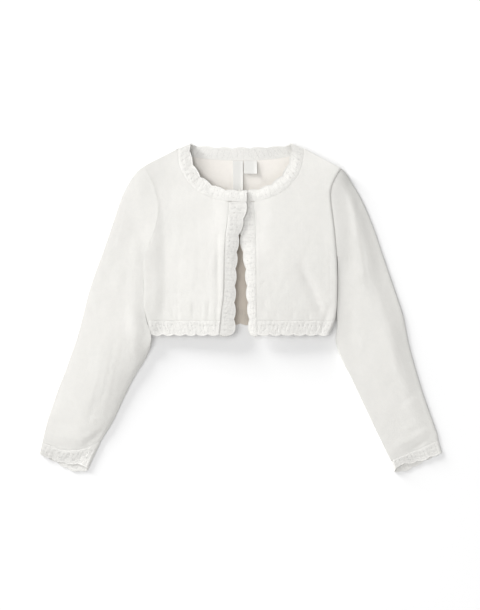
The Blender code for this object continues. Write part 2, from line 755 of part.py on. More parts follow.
def settle(frame, objects):
    """Moves the parent so that the garment's box is centred over the origin and stands on Z = 0."""
    bpy.context.view_layer.update()
    graph = bpy.context.evaluated_depsgraph_get()
    points = []
    for made in objects:
        mesh = made.evaluated_get(graph).to_mesh()
        points += [made.matrix_world @ vert.co for vert in mesh.vertices]
    low = [min(p[axis] for p in points) for axis in range(3)]
    high = [max(p[axis] for p in points) for axis in range(3)]
    frame.location = (-(low[0] + high[0]) / 2, -(low[1] + high[1]) / 2, -low[2])


for old in list(bpy.data.objects):
    bpy.data.objects.remove(old, do_unlink=True)

collection = bpy.data.collections.new("cardigan")
bpy.context.scene.collection.children.link(collection)
origin = bpy.data.objects.new("cardigan_frame", None)
collection.objects.link(origin)

knit_cloth = material("knit_cloth", KNIT_COLOUR)
knit_trim = material("knit_trim", TRIM_COLOUR)
label_cloth = material("label_cloth", LABEL_COLOUR)

make_back(knit_cloth)
make_back_hem(knit_trim)
for wearer_side in SIGN:
    make_front(wearer_side, knit_cloth)
    make_edge_trim(wearer_side, knit_trim)
    make_front_hem(wearer_side, knit_trim)
    make_sleeve(wearer_side, knit_cloth)
    make_cuff(wearer_side, knit_trim)
make_neck_trim(knit_trim)
make_label("main_label", (-10.5, 158.0), (3.0, 198.6), label_cloth)
make_label("size_tab", (4.4, 181.0), (22.0, 198.8), label_cloth)
settle(origin, [made for made in collection.objects if made.type == "MESH"])
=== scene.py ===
import math
from collections import namedtuple

import bmesh
import bpy
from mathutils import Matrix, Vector, noise


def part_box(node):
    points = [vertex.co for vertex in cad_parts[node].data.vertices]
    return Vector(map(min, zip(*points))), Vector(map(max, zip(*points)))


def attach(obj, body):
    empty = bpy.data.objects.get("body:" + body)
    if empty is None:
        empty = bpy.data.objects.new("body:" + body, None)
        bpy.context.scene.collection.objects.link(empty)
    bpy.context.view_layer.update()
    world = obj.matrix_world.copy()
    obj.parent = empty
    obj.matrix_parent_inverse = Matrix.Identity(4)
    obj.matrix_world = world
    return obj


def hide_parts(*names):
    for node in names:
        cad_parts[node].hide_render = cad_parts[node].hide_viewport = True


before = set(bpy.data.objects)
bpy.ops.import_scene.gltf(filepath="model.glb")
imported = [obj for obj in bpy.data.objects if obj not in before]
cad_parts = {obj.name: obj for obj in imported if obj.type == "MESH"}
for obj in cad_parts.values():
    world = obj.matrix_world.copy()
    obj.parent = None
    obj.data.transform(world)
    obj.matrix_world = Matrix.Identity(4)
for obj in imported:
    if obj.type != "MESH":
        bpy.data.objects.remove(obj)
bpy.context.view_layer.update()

# The back: one flat piece of fine plain knit in off-white cotton yarn, lying on the surface. Its cut
# is worked out in millimetres from the middle of the garment: the hem seam, the two armholes, the
# shoulders and the neck. Every other piece is laid against these same lines.
MM = 0.001
WALL = 1.25
WELD = 0.005
SEAM_GAP = 0.06
PITCH = 1.7
SIGN = {"right": -1, "left": 1}

HEM_SEAM_Y = -17.0
HEM_EDGE_Y = -37.5
BACK_HEM_RISE = 14.5
UNDERARM_Y = 70.0
BODY_HALF_WIDTH = 130.0
BACK_WIDTH = 262.0
BACK_LENGTH = 215.0
NECK_SEAM_TOP = Vector((85.0, 215.0))
NECK_SEAM_DROP_BACK = 16.0
NECK_ROUNDNESS_BACK = 2.1
SHOULDER_POINT = {"right": Vector((129.3, 192.0)), "left": Vector((135.3, 188.0))}

EdgeRow = namedtuple("EdgeRow", "y reach")
BODY_EDGE = {
    "right": [
        EdgeRow(-37.5, 119.5),
        EdgeRow(-17, 126),
        EdgeRow(0, 129.5),
        EdgeRow(30, 130.6),
        EdgeRow(55, 130.6),
        EdgeRow(70, 129),
        EdgeRow(85, 123.5),
        EdgeRow(100, 117.5),
        EdgeRow(116, 113),
        EdgeRow(132, 111),
        EdgeRow(148, 112.3),
        EdgeRow(168, 119),
        EdgeRow(192, 129.3),
    ],
    "left": [
        EdgeRow(-37.5, 118.5),
        EdgeRow(-17, 126.6),
        EdgeRow(0, 129.6),
        EdgeRow(30, 130.6),
        EdgeRow(60, 130),
        EdgeRow(85, 128.4),
        EdgeRow(110, 126),
        EdgeRow(130, 123.5),
        EdgeRow(148, 121.5),
        EdgeRow(160, 122),
        EdgeRow(172, 126.2),
        EdgeRow(188, 135.3),
    ],
}


def clamp01(value):
    return min(1.0, max(0.0, value))


def ease(low, high, value):
    """0 below `low`, 1 above `high`, and a smooth rise between them; low may be the larger."""
    t = clamp01((value - low) / (high - low))
    return t * t * (3 - 2 * t)


def mix(a, b, t):
    return a + (b - a) * t


def spline(before, a, b, after, t):
    """Catmull-Rom between a and b."""
    return 0.5 * (
        2 * a + (b - before) * t + (2 * before - 5 * a + 4 * b - after) * t ** 2
        + (3 * a - before - 3 * b + after) * t ** 3
    )


def lookup(rows, key, value, at):
    """A table's `value` column at `at` in its `key` column, smooth between the rows."""
    last = len(rows) - 1
    i = 0
    while i < last - 1 and at > getattr(rows[i + 1], key):
        i += 1
    low, high = getattr(rows[i], key), getattr(rows[i + 1], key)
    t = clamp01((at - low) / (high - low))
    a, b = getattr(rows[i], value), getattr(rows[i + 1], value)
    before = getattr(rows[i - 1], value) if i > 0 else 2 * a - b
    after = getattr(rows[i + 2], value) if i + 2 <= last else 2 * b - a
    return spline(before, a, b, after, t)


def path(points):
    """A smooth curve through the points, as a function of the fraction of its length."""
    points = [Vector(p) for p in points]
    padded = [points[0] * 2 - points[1]] + points + [points[-1] * 2 - points[-2]]
    lengths = [0.0]
    for a, b in zip(points, points[1:]):
        lengths.append(lengths[-1] + (b - a).length)

    def at(fraction):
        goal = fraction * lengths[-1]
        i = 0
        while i < len(points) - 2 and goal > lengths[i + 1]:
            i += 1
        t = (goal - lengths[i]) / (lengths[i + 1] - lengths[i])
        return spline(padded[i], padded[i + 1], padded[i + 2], padded[i + 3], t)

    return at


def length_of(curve, samples=40):
    points = [curve(i / samples) for i in range(samples + 1)]
    return sum((b - a).length for a, b in zip(points, points[1:]))


def joined(parts):
    """Several curves end to end as one, with the fractions at which they meet."""
    lengths = [length_of(part) for part in parts]
    breaks = [sum(lengths[:i]) / sum(lengths) for i in range(len(parts) + 1)]

    def at(fraction):
        i = 0
        while i < len(parts) - 1 and fraction > breaks[i + 1]:
            i += 1
        return parts[i]((fraction - breaks[i]) / (breaks[i + 1] - breaks[i]))

    return at, breaks


def line(a, b):
    return lambda t: mix(a, b, t)


def patch(start, end, low, high):
    """A panel between four seams: u runs from start to end, v from low to high.

    The threads run straight from the low seam to the high one, and bend only near the side seams.
    """
    side_fade = 6

    def at(u, v):
        start_bend = start(v) - mix(low(0), high(0), v)
        end_bend = end(v) - mix(low(1), high(1), v)
        straight = mix(low(u), high(u), v)
        return straight + start_bend * (1 - u) ** side_fade + end_bend * u ** side_fade

    return at


def spread(length, pitch=PITCH, keep=()):
    """Fractions from 0 to 1 at about the pitch, closer beside the seams at both ends, and at each
    of `keep`."""
    beside_seam = (0.25, 0.6, 1.1, 1.8)
    count = max(2, round(length / pitch))
    close = [d / length for d in beside_seam]
    clear = (beside_seam[-1] + 0.5 * pitch) / length
    middle = [i / count for i in range(count + 1) if clear < i / count < 1 - clear]
    steps = [0.0] + close + middle + [1 - c for c in reversed(close)] + [1.0]
    for f in keep:
        nearest = min(range(len(steps)), key=lambda i: abs(steps[i] - f))
        steps[nearest] = f
    return steps


def added(name, data):
    """A new object in the scene that shows the data."""
    thing = bpy.data.objects.new(name, data)
    bpy.context.collection.objects.link(thing)
    return thing


def cloth(name, columns, rows, place, finish, inside=None, faces_up=True, ring=False, wall=WALL):
    """A wall of cloth on a grid, in place of the solid of that name. place(column, row) gives its
    outer surface, the place on the uncut cloth and how open the work is there, in millimetres."""
    bm = bmesh.new()
    bmesh.ops.create_grid(bm, x_segments=len(columns) - 1, y_segments=len(rows) - 1, size=1.0)
    bm.verts.ensure_lookup_table()
    uncut = []
    opened = bm.verts.layers.float.new("opened")
    for index, vert in enumerate(bm.verts):
        row, column = divmod(index, len(columns))
        point, thread, openness = place(columns[column], rows[row])
        vert.co = (Vector(point) + laid) * MM
        vert[opened] = openness
        uncut.append(Vector(thread) * MM)
    threads = bm.loops.layers.uv.new("threads")
    for face in bm.faces:
        for loop in face.loops:
            loop[threads].uv = uncut[loop.vert.index]
    if ring:
        bmesh.ops.remove_doubles(bm, verts=bm.verts, dist=WELD * MM)
    bm.normal_update()
    highest = max(bm.faces, key=lambda face: face.calc_center_median().z * abs(face.normal.z))
    if (highest.normal.z > 0) != faces_up:
        bmesh.ops.reverse_faces(bm, faces=bm.faces)
    mesh = bpy.data.meshes.new(name)
    bm.to_mesh(mesh)
    bm.free()
    mesh.shade_smooth()
    mesh.materials.append(finish)
    piece = added(name, mesh)
    solidify = piece.modifiers.new("Wall", "SOLIDIFY")
    solidify.thickness = wall * MM
    solidify.offset = -1
    if inside:
        mesh.materials.append(inside)
        solidify.material_offset = 1
    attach(piece, "root")
    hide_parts(name)
    return piece


def plain_material(name):
    """A new material, and its shader."""
    made = bpy.data.materials.new(name)
    made.use_nodes = True
    return made, made.node_tree.nodes["Principled BSDF"]


def thread_place(tree):
    """The place on the uncut cloth, across its columns of stitches and along them."""
    threads = tree.nodes.new("ShaderNodeUVMap")
    threads.uv_map = "threads"
    return threads.outputs["UV"]


def raise_surface(tree, shader, height, strength, distance):
    bump = tree.nodes.new("ShaderNodeBump")
    bump.inputs["Strength"].default_value = strength
    bump.inputs["Distance"].default_value = distance * MM
    tree.links.new(height, bump.inputs["Height"])
    tree.links.new(bump.outputs["Normal"], shader.inputs["Normal"])


def math_node(tree, operation, *values):
    node = tree.nodes.new("ShaderNodeMath")
    node.operation = operation
    for socket, value in zip(node.inputs, values):
        if isinstance(value, bpy.types.NodeSocket):
            tree.links.new(value, socket)
        else:
            socket.default_value = value
    return node.outputs[0]


def blend_colour(tree, factor, low, high):
    node = tree.nodes.new("ShaderNodeMix")
    node.data_type = "RGBA"
    tree.links.new(factor, node.inputs["Factor"])
    for socket, colour in ((node.inputs["A"], low), (node.inputs["B"], high)):
        if isinstance(colour, bpy.types.NodeSocket):
            tree.links.new(colour, socket)
        else:
            socket.default_value = (*colour, 1.0)
    return node.outputs["Result"]


def soft_noise(tree, scale, stretch=(1, 1, 1), detail=2.0, source="object"):
    """Cloudy variation from 0 to 1, on the cloth's own place or along its threads."""
    if source == "object":
        place = tree.nodes.new("ShaderNodeTexCoord").outputs["Object"]
    else:
        place = thread_place(tree)
    turned = tree.nodes.new("ShaderNodeMapping")
    turned.inputs["Scale"].default_value = stretch
    tree.links.new(place, turned.inputs["Vector"])
    cloud = tree.nodes.new("ShaderNodeTexNoise")
    cloud.inputs["Scale"].default_value = scale
    cloud.inputs["Detail"].default_value = detail
    tree.links.new(turned.outputs["Vector"], cloud.inputs["Vector"])
    return cloud.outputs["Fac"]


def ease_node(tree, value, low, high):
    """The same smooth rise as `ease`, in a material."""
    node = tree.nodes.new("ShaderNodeMapRange")
    node.interpolation_type = "SMOOTHSTEP"
    node.inputs["From Min"].default_value = low
    node.inputs["From Max"].default_value = high
    tree.links.new(value, node.inputs["Value"])
    return node.outputs["Result"]


# Painted shade: the inside of the cloth is painted a darker, warmer colour below the chest, standing in
# for the shade deep inside the body between its layers. It fades in between these two heights.
INSIDE_PAINTED_SHADE = (0.82, 0.745, 0.655)
INSIDE_SHADE_FADE_Y = (120.0, 84.0)
STREAK_STRETCH = (1.0, 0.06, 1.0)
STREAK_TONE = 0.93
EYELET_PAINTED_SHADE = 0.42


def knit_finish(name, light, shade, warm, stitch=(1.15, 0.85), depth=0.17, mottle_scale=170.0,
                mottle_share=0.3, openwork=0.0, low=None):
    """Off-white cotton knit: columns of V-shaped stitches that follow the cloth, with painted shade
    between their loops, a faint unevenness from row to row, and a soft fibrous surface. With `openwork`
    the open parts of the work are painted darker, as painted shade in the holes. With `low` the cloth is
    painted that darker, warmer colour below the chest, as painted shade deep inside the body."""
    made, shader = plain_material(name)
    tree = made.node_tree
    shader.inputs["Roughness"].default_value = 0.88
    shader.inputs["Specular IOR Level"].default_value = 0.18
    shader.inputs["Sheen Weight"].default_value = 0.12
    shader.inputs["Sheen Roughness"].default_value = 0.45
    split = tree.nodes.new("ShaderNodeSeparateXYZ")
    tree.links.new(thread_place(tree), split.inputs[0])
    column = math_node(tree, "DIVIDE", split.outputs["X"], stitch[0] * MM)
    row = math_node(tree, "DIVIDE", split.outputs["Y"], stitch[1] * MM)
    from_edge = math_node(tree, "PINGPONG", column, 0.5)
    leg = math_node(tree, "SINE", math_node(tree, "MULTIPLY", from_edge, 2 * math.pi))
    leg = math_node(tree, "POWER", math_node(tree, "MAXIMUM", leg, 0.0), 0.6)
    slant = math_node(tree, "MULTIPLY", from_edge, -1.3)
    loop = math_node(tree, "FRACT", math_node(tree, "ADD", row, slant))
    loop = math_node(tree, "SINE", math_node(tree, "MULTIPLY", loop, math.pi))
    loop = math_node(tree, "MULTIPLY_ADD", loop, 0.6, 0.4)
    stitches = math_node(tree, "MULTIPLY", leg, loop)
    streaks = soft_noise(tree, scale=420.0, stretch=STREAK_STRETCH, source="threads")
    fibres = soft_noise(tree, scale=2600.0, detail=3.0)
    clouds = soft_noise(tree, scale=14.0)
    # Painted shade between the stitches: the loops take the light colour and the gaps between them the
    # shade colour.
    body = blend_colour(tree, stitches, shade, light)
    body = blend_colour(tree, math_node(tree, "MULTIPLY", clouds, 0.5), body, warm)
    darker = tuple(c * STREAK_TONE for c in light)
    body = blend_colour(tree, math_node(tree, "MULTIPLY", streaks, 0.35), body, darker)
    mottle = ease_node(tree, soft_noise(tree, mottle_scale), 0.36, 0.64)
    body = blend_colour(tree, math_node(tree, "MULTIPLY", mottle, mottle_share), body, darker)
    # Painted shade deep inside the body: below the chest the colour turns to the darker, warmer `low`
    # colour.
    if low:
        place = tree.nodes.new("ShaderNodeSeparateXYZ")
        tree.links.new(tree.nodes.new("ShaderNodeTexCoord").outputs["Object"], place.inputs[0])
        lower = ease_node(tree, place.outputs["Y"], INSIDE_SHADE_FADE_Y[0] * MM, INSIDE_SHADE_FADE_Y[1] * MM)
        body = blend_colour(tree, lower, body, low)
    height = math_node(tree, "MULTIPLY_ADD", fibres, 0.35, stitches)
    height = math_node(tree, "MULTIPLY_ADD", streaks, 0.5, height)
    # Painted shade in the holes: the open eyelets and grooves of the work are painted darker, as far as
    # they are open.
    if openwork:
        opened = tree.nodes.new("ShaderNodeAttribute")
        opened.attribute_name = "opened"
        hole_shade = math_node(tree, "MULTIPLY", opened.outputs["Fac"], openwork)
        body = blend_colour(tree, hole_shade, body, tuple(c * EYELET_PAINTED_SHADE for c in shade))
    tree.links.new(body, shader.inputs["Base Color"])
    raise_surface(tree, shader, height, strength=0.8, distance=depth)
    through = tree.nodes.new("ShaderNodeBsdfTranslucent")
    through.inputs["Color"].default_value = (*warm, 1.0)
    both = tree.nodes.new("ShaderNodeMixShader")
    both.inputs["Fac"].default_value = 0.13
    tree.links.new(shader.outputs["BSDF"], both.inputs[1])
    tree.links.new(through.outputs["BSDF"], both.inputs[2])
    tree.links.new(both.outputs["Shader"], tree.nodes["Material Output"].inputs["Surface"])
    return made


def on_side(side, x, y):
    return Vector((SIGN[side] * x, y))


def reach_at(side, y):
    return lookup(BODY_EDGE[side], "y", "reach", y)


def body_edge(side, y):
    return Vector((SIGN[side] * reach_at(side, y), y))


def shoulder_point(side):
    return on_side(side, SHOULDER_POINT[side].x, SHOULDER_POINT[side].y)


def neck_curve(top, drop, roundness, gap=0.0):
    """Half of a neck curve, from the shoulder fold round to the middle, on the +X side."""
    count = 24
    points = []
    for i in range(count + 1):
        angle = math.pi / 2 * i / count
        x = (top.x - gap) * math.cos(angle) ** (2 / roundness)
        y = top.y - (drop - gap) * math.sin(angle) ** (2 / roundness)
        points.append(Vector((x, y)))
    return points


def mirrored(side, points):
    return [Vector((SIGN[side] * p.x, p.y)) for p in points]


def hem_rise(x):
    """The back's hem is gathered up a little in the middle."""
    return BACK_HEM_RISE * math.cos(math.pi / 2 * clamp01(abs(x) / BODY_HALF_WIDTH)) ** 2


SEAM_DIP_WIDTH = 0.9


def seam_dip(depth, *distances):
    """How far the cloth sinks beside a seam, from its distances to the seams in millimetres."""
    return sum(depth * math.exp(-((d / SEAM_DIP_WIDTH) ** 2)) for d in distances)


Swell = namedtuple("Swell", "size depth")
SWELL_SEED = 3.7


def unevenness(x, y, swells):
    """The soft unevenness of hand-laid cloth."""
    places = [Vector((x / swell.size, y / swell.size, SWELL_SEED)) for swell in swells]
    return sum(swell.depth * noise.noise(place) for swell, place in zip(swells, places))


back_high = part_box("back")[1]
laid = Vector((back_high.x / MM - SHOULDER_POINT["left"].x, back_high.y / MM - NECK_SEAM_TOP.y, 0.0))

knit = knit_finish("knit_cloth", light=(0.923, 0.919, 0.886), shade=(0.86, 0.853, 0.815),
                   warm=(0.928, 0.904, 0.872))
# The inside of the cloth has a warmer tone than the outside. It is also painted lighter than the outside,
# as painted light that lifts the shade it lies in. Below the chest it takes the painted shade.
knit_inside = knit_finish("knit_cloth_inside", light=(0.975, 0.945, 0.895), shade=(0.935, 0.9, 0.84),
                          warm=(0.98, 0.93, 0.88), low=INSIDE_PAINTED_SHADE)


def back_hem_line(u):
    x = mix(-reach_at("right", HEM_SEAM_Y), reach_at("left", HEM_SEAM_Y), u)
    return Vector((x, HEM_SEAM_Y + hem_rise(x)))


half_back_neck = neck_curve(NECK_SEAM_TOP, NECK_SEAM_DROP_BACK, NECK_ROUNDNESS_BACK)
back_neck = mirrored("right", half_back_neck) + half_back_neck[-2::-1]
back_top, back_breaks = joined([
    line(shoulder_point("right"), back_neck[0]),
    path(back_neck),
    line(back_neck[-1], shoulder_point("left")),
])
back_plan = patch(
    lambda v: body_edge("right", mix(HEM_SEAM_Y, SHOULDER_POINT["right"].y, v)),
    lambda v: body_edge("left", mix(HEM_SEAM_Y, SHOULDER_POINT["left"].y, v)),
    back_hem_line,
    back_top,
)


def place_back(u, v):
    point = back_plan(u, v)
    return (point.x, point.y, 0.0), (point.x, point.y), 0.0


back = cloth("back", spread(BACK_WIDTH, keep=back_breaks[1:3]), spread(BACK_LENGTH), place_back,
             knit, knit_inside, faces_up=False)

# The back's hem trim: a strip of openwork knit with a scalloped edge, linked to the back's hem and
# flat on the surface. The same work, a fan of ribs and eyelets to each scallop, edges every opening.
TRIM_PITCH = 0.7
SCALLOP_DEPTH = 2.6
SCALLOP_FULLNESS = 0.7
BACK_HEM_SCALLOPS = 14
BACK_HEM_LENGTH = 250.0
HEM_WIDTH = HEM_SEAM_Y - HEM_EDGE_Y

Eyelet = namedtuple("Eyelet", "turn across radius")
EYELETS = [
    Eyelet(0.17, 0.34, 0.8),
    Eyelet(-0.17, 0.34, 0.8),
    Eyelet(0.5, 0.30, 0.65),
    Eyelet(-0.5, 0.30, 0.65),
    Eyelet(0.0, 0.66, 0.75),
]
RIBS_PER_SCALLOP = 3
RIBS_DRAWN_IN = 0.72
RIB_LEAN = 0.18
RIB_WAVER = 0.2
RIB_WAVER_RATE = (2.3, 2.0)
RIB_RELIEF = 0.1
GROOVE_WIDTH = 0.6
# How far the grooves count as open, and so how dark their painted shade is.
GROOVE_OPENNESS = 0.5
WORKED_FROM = (0.08, 0.16)
WORKED_TO = (0.93, 0.84)
WORKED_RATE = (3.1, 2.6)
WORKED_LEAST = 0.6
WORKED_RANGE = 1.6
WORKED_MIDDLE = 0.25
EDGE_CORD_WIDTH = 1.0
EDGE_CORD_RELIEF = 0.22
SEAM_CHAIN_PLACE = 1.5
SEAM_CHAIN_WIDTH = 0.7
SEAM_CHAIN_RELIEF = 0.05
LUMP_SIZE = 3.4
LUMP_RELIEF = 0.15
EYELET_DEPTH = 0.25
PATTERN_FADE = 0.05
TRIM_SEAM_DIP = 0.08

TRIM_LOOK = {
    "light": (0.972, 0.965, 0.932),
    "shade": (0.94, 0.928, 0.888),
    "warm": (0.985, 0.958, 0.925),
    "stitch": (1.3, 1.0),
    "depth": 0.3,
    "mottle_scale": 330.0,
    "mottle_share": 0.75,
    # How dark the painted shade in the eyelets and grooves is.
    "openwork": 0.34,
}
trim_knit = knit_finish("knit_trim", **TRIM_LOOK)
trim_inside = knit_finish("knit_trim_inside", low=INSIDE_PAINTED_SHADE, **TRIM_LOOK)


def scallop(turns):
    """0 at the notches, which lie at whole turns, and 1 at the tips."""
    return abs(math.sin(math.pi * turns)) ** SCALLOP_FULLNESS


def bell(distance, width, power=2):
    """1 at a line or point, and gone a little past `width` from it."""
    return math.exp(-((distance / width) ** power))


def drift(along, across, rate, seed):
    """A slow random change along a strip and across it."""
    return noise.noise(Vector((along * rate[0], across * rate[1], seed)))


def openwork(turns, across, period, width):
    """The relief of the trim's pattern in millimetres, and how open it is there: turns counts the
    scallops along it, and across runs from the seam to the edge."""
    turn = turns % 1.0 - 0.5
    waver = RIB_WAVER * drift(turns, across, RIB_WAVER_RATE, seed=7.1)
    rib = RIBS_PER_SCALLOP * turn / mix(RIBS_DRAWN_IN, 1.0, across) + RIB_LEAN * across + waver
    from_groove = (rib % 1.0 - 0.5) * period / RIBS_PER_SCALLOP
    worked = ease(*WORKED_FROM, across) * ease(*WORKED_TO, across)
    strength = clamp01(WORKED_MIDDLE + drift(turns, across, WORKED_RATE, seed=1.3))
    worked = min(1.0, worked * (WORKED_LEAST + WORKED_RANGE * strength))
    groove = worked * bell(from_groove, GROOVE_WIDTH)
    eyelet = 0.0
    for hole in EYELETS:
        away = Vector(((turn - hole.turn) * period, (across - hole.across) * width)).length
        eyelet = max(eyelet, bell(away, hole.radius, power=4))
    along, in_from_seam = turns * period / LUMP_SIZE, across * width / LUMP_SIZE
    lumps = drift(along, in_from_seam, (1, 1), seed=4.2) + drift(along, in_from_seam, (2, 2), seed=8.6) / 2
    relief = RIB_RELIEF * worked * (1 - groove)
    relief += EDGE_CORD_RELIEF * bell((1 - across) * width, EDGE_CORD_WIDTH)
    relief += SEAM_CHAIN_RELIEF * bell(across * width - SEAM_CHAIN_PLACE, SEAM_CHAIN_WIDTH)
    relief += LUMP_RELIEF * lumps
    opened = max(eyelet * worked, GROOVE_OPENNESS * groove)
    return relief * (1 - eyelet) - EYELET_DEPTH * eyelet, opened


def place_back_hem(u, w):
    period = 2 * BODY_HALF_WIDTH / BACK_HEM_SCALLOPS
    scalloped = SCALLOP_DEPTH * (1 - scallop(u * BACK_HEM_SCALLOPS)) / HEM_WIDTH
    y = mix(HEM_SEAM_Y - SEAM_GAP, HEM_EDGE_Y, w * (1 - scalloped))
    x = mix(-reach_at("right", y), reach_at("left", y), u)
    opened = openwork(u * BACK_HEM_SCALLOPS, w, period, HEM_WIDTH)[1]
    return (x, y + hem_rise(x), 0.0), (x, y), opened


hem_trim_back = cloth("hem_trim_back", spread(BACK_HEM_LENGTH, TRIM_PITCH), spread(HEM_WIDTH, TRIM_PITCH),
                      place_back_hem, trim_knit, trim_inside, faces_up=False)

# The two fronts: shaped panels of the same plain knit, arched over the back, with the soft troughs
# and puckers that the cloth took where it was laid down by hand.
SEAT = 2.75
RIM_LOFT = 11.0
CROWN_LOFT = 4.0
CROWN_AT_NECK = 0.15
CROWN_Y = (165.0, 5.0)
FRONT_WIDTH = 112.0
FRONT_MEAN_WIDTH = 105.0
FRONT_LENGTH = 200.0
FRONT_SWELLS = [Swell(30.0, 0.28), Swell(9.0, 0.12), Swell(4.0, 0.035)]
FRONT_HEM_DIP = 0.1
FRONT_EDGE_DIP = {"right": 0.14, "left": 0.04}
NECK_SEAM_DIP = 0.04
NECK_FOOT_CLEAR = 2.0
SIDE_RADIUS = 4.5
SIDE_TURN_RADIUS = 0.2
SIDE_TURN_START = 0.01
SHOULDER_RADIUS = 0.3
HEM_SAG = 0.7
HEM_SAG_TOP = 5.0
CLOSURE_STEP = {"right": 1.3, "left": -1.3}
CLOSURE_X = (42.0, 16.0)
CLOSURE_Y = (60.0, 90.0)
EDGE_DROOP = 1.8
DROOP_Y = (132.0, 92.0)
DROOP_START = 0.15
DROOP_LIMIT = 1.4
DROOP_SHAPE = 1.6
NECK_EDGE_TOP = Vector((67.5, 222.0))
NECK_SIDE_DROP = {"right": 2.8, "left": 1.5}
NECK_SIDE_REACH = 34.0
NECK_SEAM_DROP_FRONT = 72.2
NECK_ROUNDNESS_FRONT = 2.3

StripRow = namedtuple("StripRow", "y seam edge")
FRONT_EDGE = {
    "right": [
        StripRow(-37.5, -29.4, -8.5),
        StripRow(-17, -27.5, -8),
        StripRow(20, -23.5, -7.5),
        StripRow(60, -22.6, -5.7),
        StripRow(95, -21, -2.4),
        StripRow(120, -17.5, 4.5),
        StripRow(143, -15.5, 8.4),
        StripRow(160, -15.5, 8.4),
    ],
    "left": [
        StripRow(-37.5, 22.5, 11),
        StripRow(-17, 22, 10.5),
        StripRow(13, 21.3, 8.4),
        StripRow(56, 21, 5.7),
        StripRow(95, 20.4, -0.8),
        StripRow(120, 19.4, -1),
        StripRow(143, 17.5, -3),
        StripRow(160, 17.5, -3.7),
    ],
}

CREASE_END = 0.4
CREASE_REACH = 3.0
Crease = namedtuple("Crease", "x0 y0 x1 y1 width depth")
FRONT_CREASES = {
    "right": [
        Crease(-31.2, 98, -30.8, 0, 2.4, 0.42),
        Crease(-39.5, 96, -38.8, 0, 2.6, -0.1),
        Crease(-28.6, 114, -29.5, 90, 1.6, 0.16),
        Crease(-33, 6, -31, -34, 2.2, 0.39),
        Crease(-92, 2, -84, -18, 4.0, 0.33),
        Crease(-64, 4, -56, -16, 4.0, 0.33),
        Crease(-72, 90, -66, 20, 12.0, -0.26),
        Crease(-92, -2, -91, -16, 1.8, 0.23),
        Crease(-85, -4, -84, -16, 1.6, 0.2),
        Crease(-64.5, 2, -64, -16, 1.8, 0.26),
        Crease(-52.5, 3, -53, -17, 1.8, 0.29),
        Crease(-42, 10, -45, -17, 2.0, 0.26),
    ],
    "left": [
        Crease(82, 56, 106, 0, 7.0, 0.98),
        Crease(104, 6, 112, -12, 5.0, 0.45),
        Crease(26, 27, 32, 35, 1.7, 0.2),
        Crease(32, 6, 50, -14, 4.5, 0.26),
        Crease(31, 8, 33, 0, 1.6, 0.2),
        Crease(48, -4, 49, -15, 1.7, 0.23),
        Crease(92, -8, 92, -16, 1.8, 0.26),
        Crease(70, -4, 71, -16, 1.8, 0.16),
        Crease(60, 110, 66, 30, 14.0, -0.26),
        Crease(118, 100, 120, 10, 1.4, 0.1),
        Crease(113, 90, 114, 30, 1.3, 0.08),
        Crease(118, 0, 110, -30, 4.0, 0.59),
        Crease(110, -22, 108, -36, 1.6, 0.26),
        Crease(104, -20, 101, -36, 1.6, 0.26),
    ],
}
# The sleeves lie level against the body, from the armhole to the hem, and come away below it. On
# the right the two edges meet, and a shallow trough with a ridge beside it runs down from the
# shoulder along the armhole to the hem. On the left the front's edge rolls down beside the sleeve.
LEVEL_Y = {"right": (-75.0, -36.0), "left": (-75.0, -30.0)}
EDGES_MEET = {"right": 1.0, "left": 0.0}
EDGES_MEET_REACH = 0.3
EDGE_ROLL = {"right": 0.0, "left": 1.9}
EDGE_ROLL_RADIUS = 3.6
TROUGH_DEPTH = 1.35
TROUGH_WALL = (-10.0, 8.0)
TROUGH_RECOVERY = (8.0, 105.0)
TROUGH_TOP_Y = (198.0, 160.0)
RIDGE_HEIGHT = 1.5
RIDGE_OFFSET = 25.0
RIDGE_WIDTH = 15.0
RIDGE_TOP_Y = (110.0, 70.0)
TroughRow = namedtuple("TroughRow", "y x")
TROUGH_LINE = [
    TroughRow(-37, -114),
    TroughRow(-19, -112),
    TroughRow(10, -108),
    TroughRow(38, -106.5),
    TroughRow(62, -107.5),
    TroughRow(105, -109),
    TroughRow(132, -110.5),
    TroughRow(160, -117),
    TroughRow(192, -130),
]


def level_share(side, y):
    """How far the sleeve and the body lie level with each other at their shared edge."""
    return ease(*LEVEL_Y[side], y)


def trough(side, x, y):
    """How far the trough beside the right armhole lowers the cloth, less what its ridge lifts it."""
    if side == "left":
        return 0.0
    across = x - lookup(TROUGH_LINE, "y", "x", y)
    ridge = RIDGE_HEIGHT * bell(across + RIDGE_OFFSET, RIDGE_WIDTH) * ease(*RIDGE_TOP_Y, y)
    sunk = ease(*TROUGH_WALL, across) - ease(*TROUGH_RECOVERY, across)
    return TROUGH_DEPTH * sunk * ease(*TROUGH_TOP_Y, y) - ridge


def rounded(distance, radius):
    """The quarter round of a folded edge: 0 at the edge, 1 from `radius` inwards."""
    t = clamp01(distance / radius)
    return math.sqrt(1 - (1 - t) ** 2)


def relief(creases, x, y):
    """How far the creases lower the cloth at a point."""
    total = 0.0
    for crease in creases:
        run_x, run_y = crease.x1 - crease.x0, crease.y1 - crease.y0
        from_x, from_y = x - crease.x0, y - crease.y0
        along = clamp01((from_x * run_x + from_y * run_y) / (run_x * run_x + run_y * run_y))
        away = math.hypot(from_x - run_x * along, from_y - run_y * along)
        if away < CREASE_REACH * crease.width:
            deep = mix(CREASE_END, 1.0, math.sin(math.pi * along))
            total += crease.depth * deep * bell(away, crease.width)
    return total


def shoulder_line_y(side, x):
    """The shoulder fold, on past the neck seam to the neck's highest point."""
    tip = SHOULDER_POINT[side]
    outer = NECK_SEAM_TOP if abs(x) < NECK_SEAM_TOP.x else tip
    inner = NECK_EDGE_TOP if abs(x) < NECK_SEAM_TOP.x else NECK_SEAM_TOP
    return mix(inner.y, outer.y, (abs(x) - inner.x) / (outer.x - inner.x))


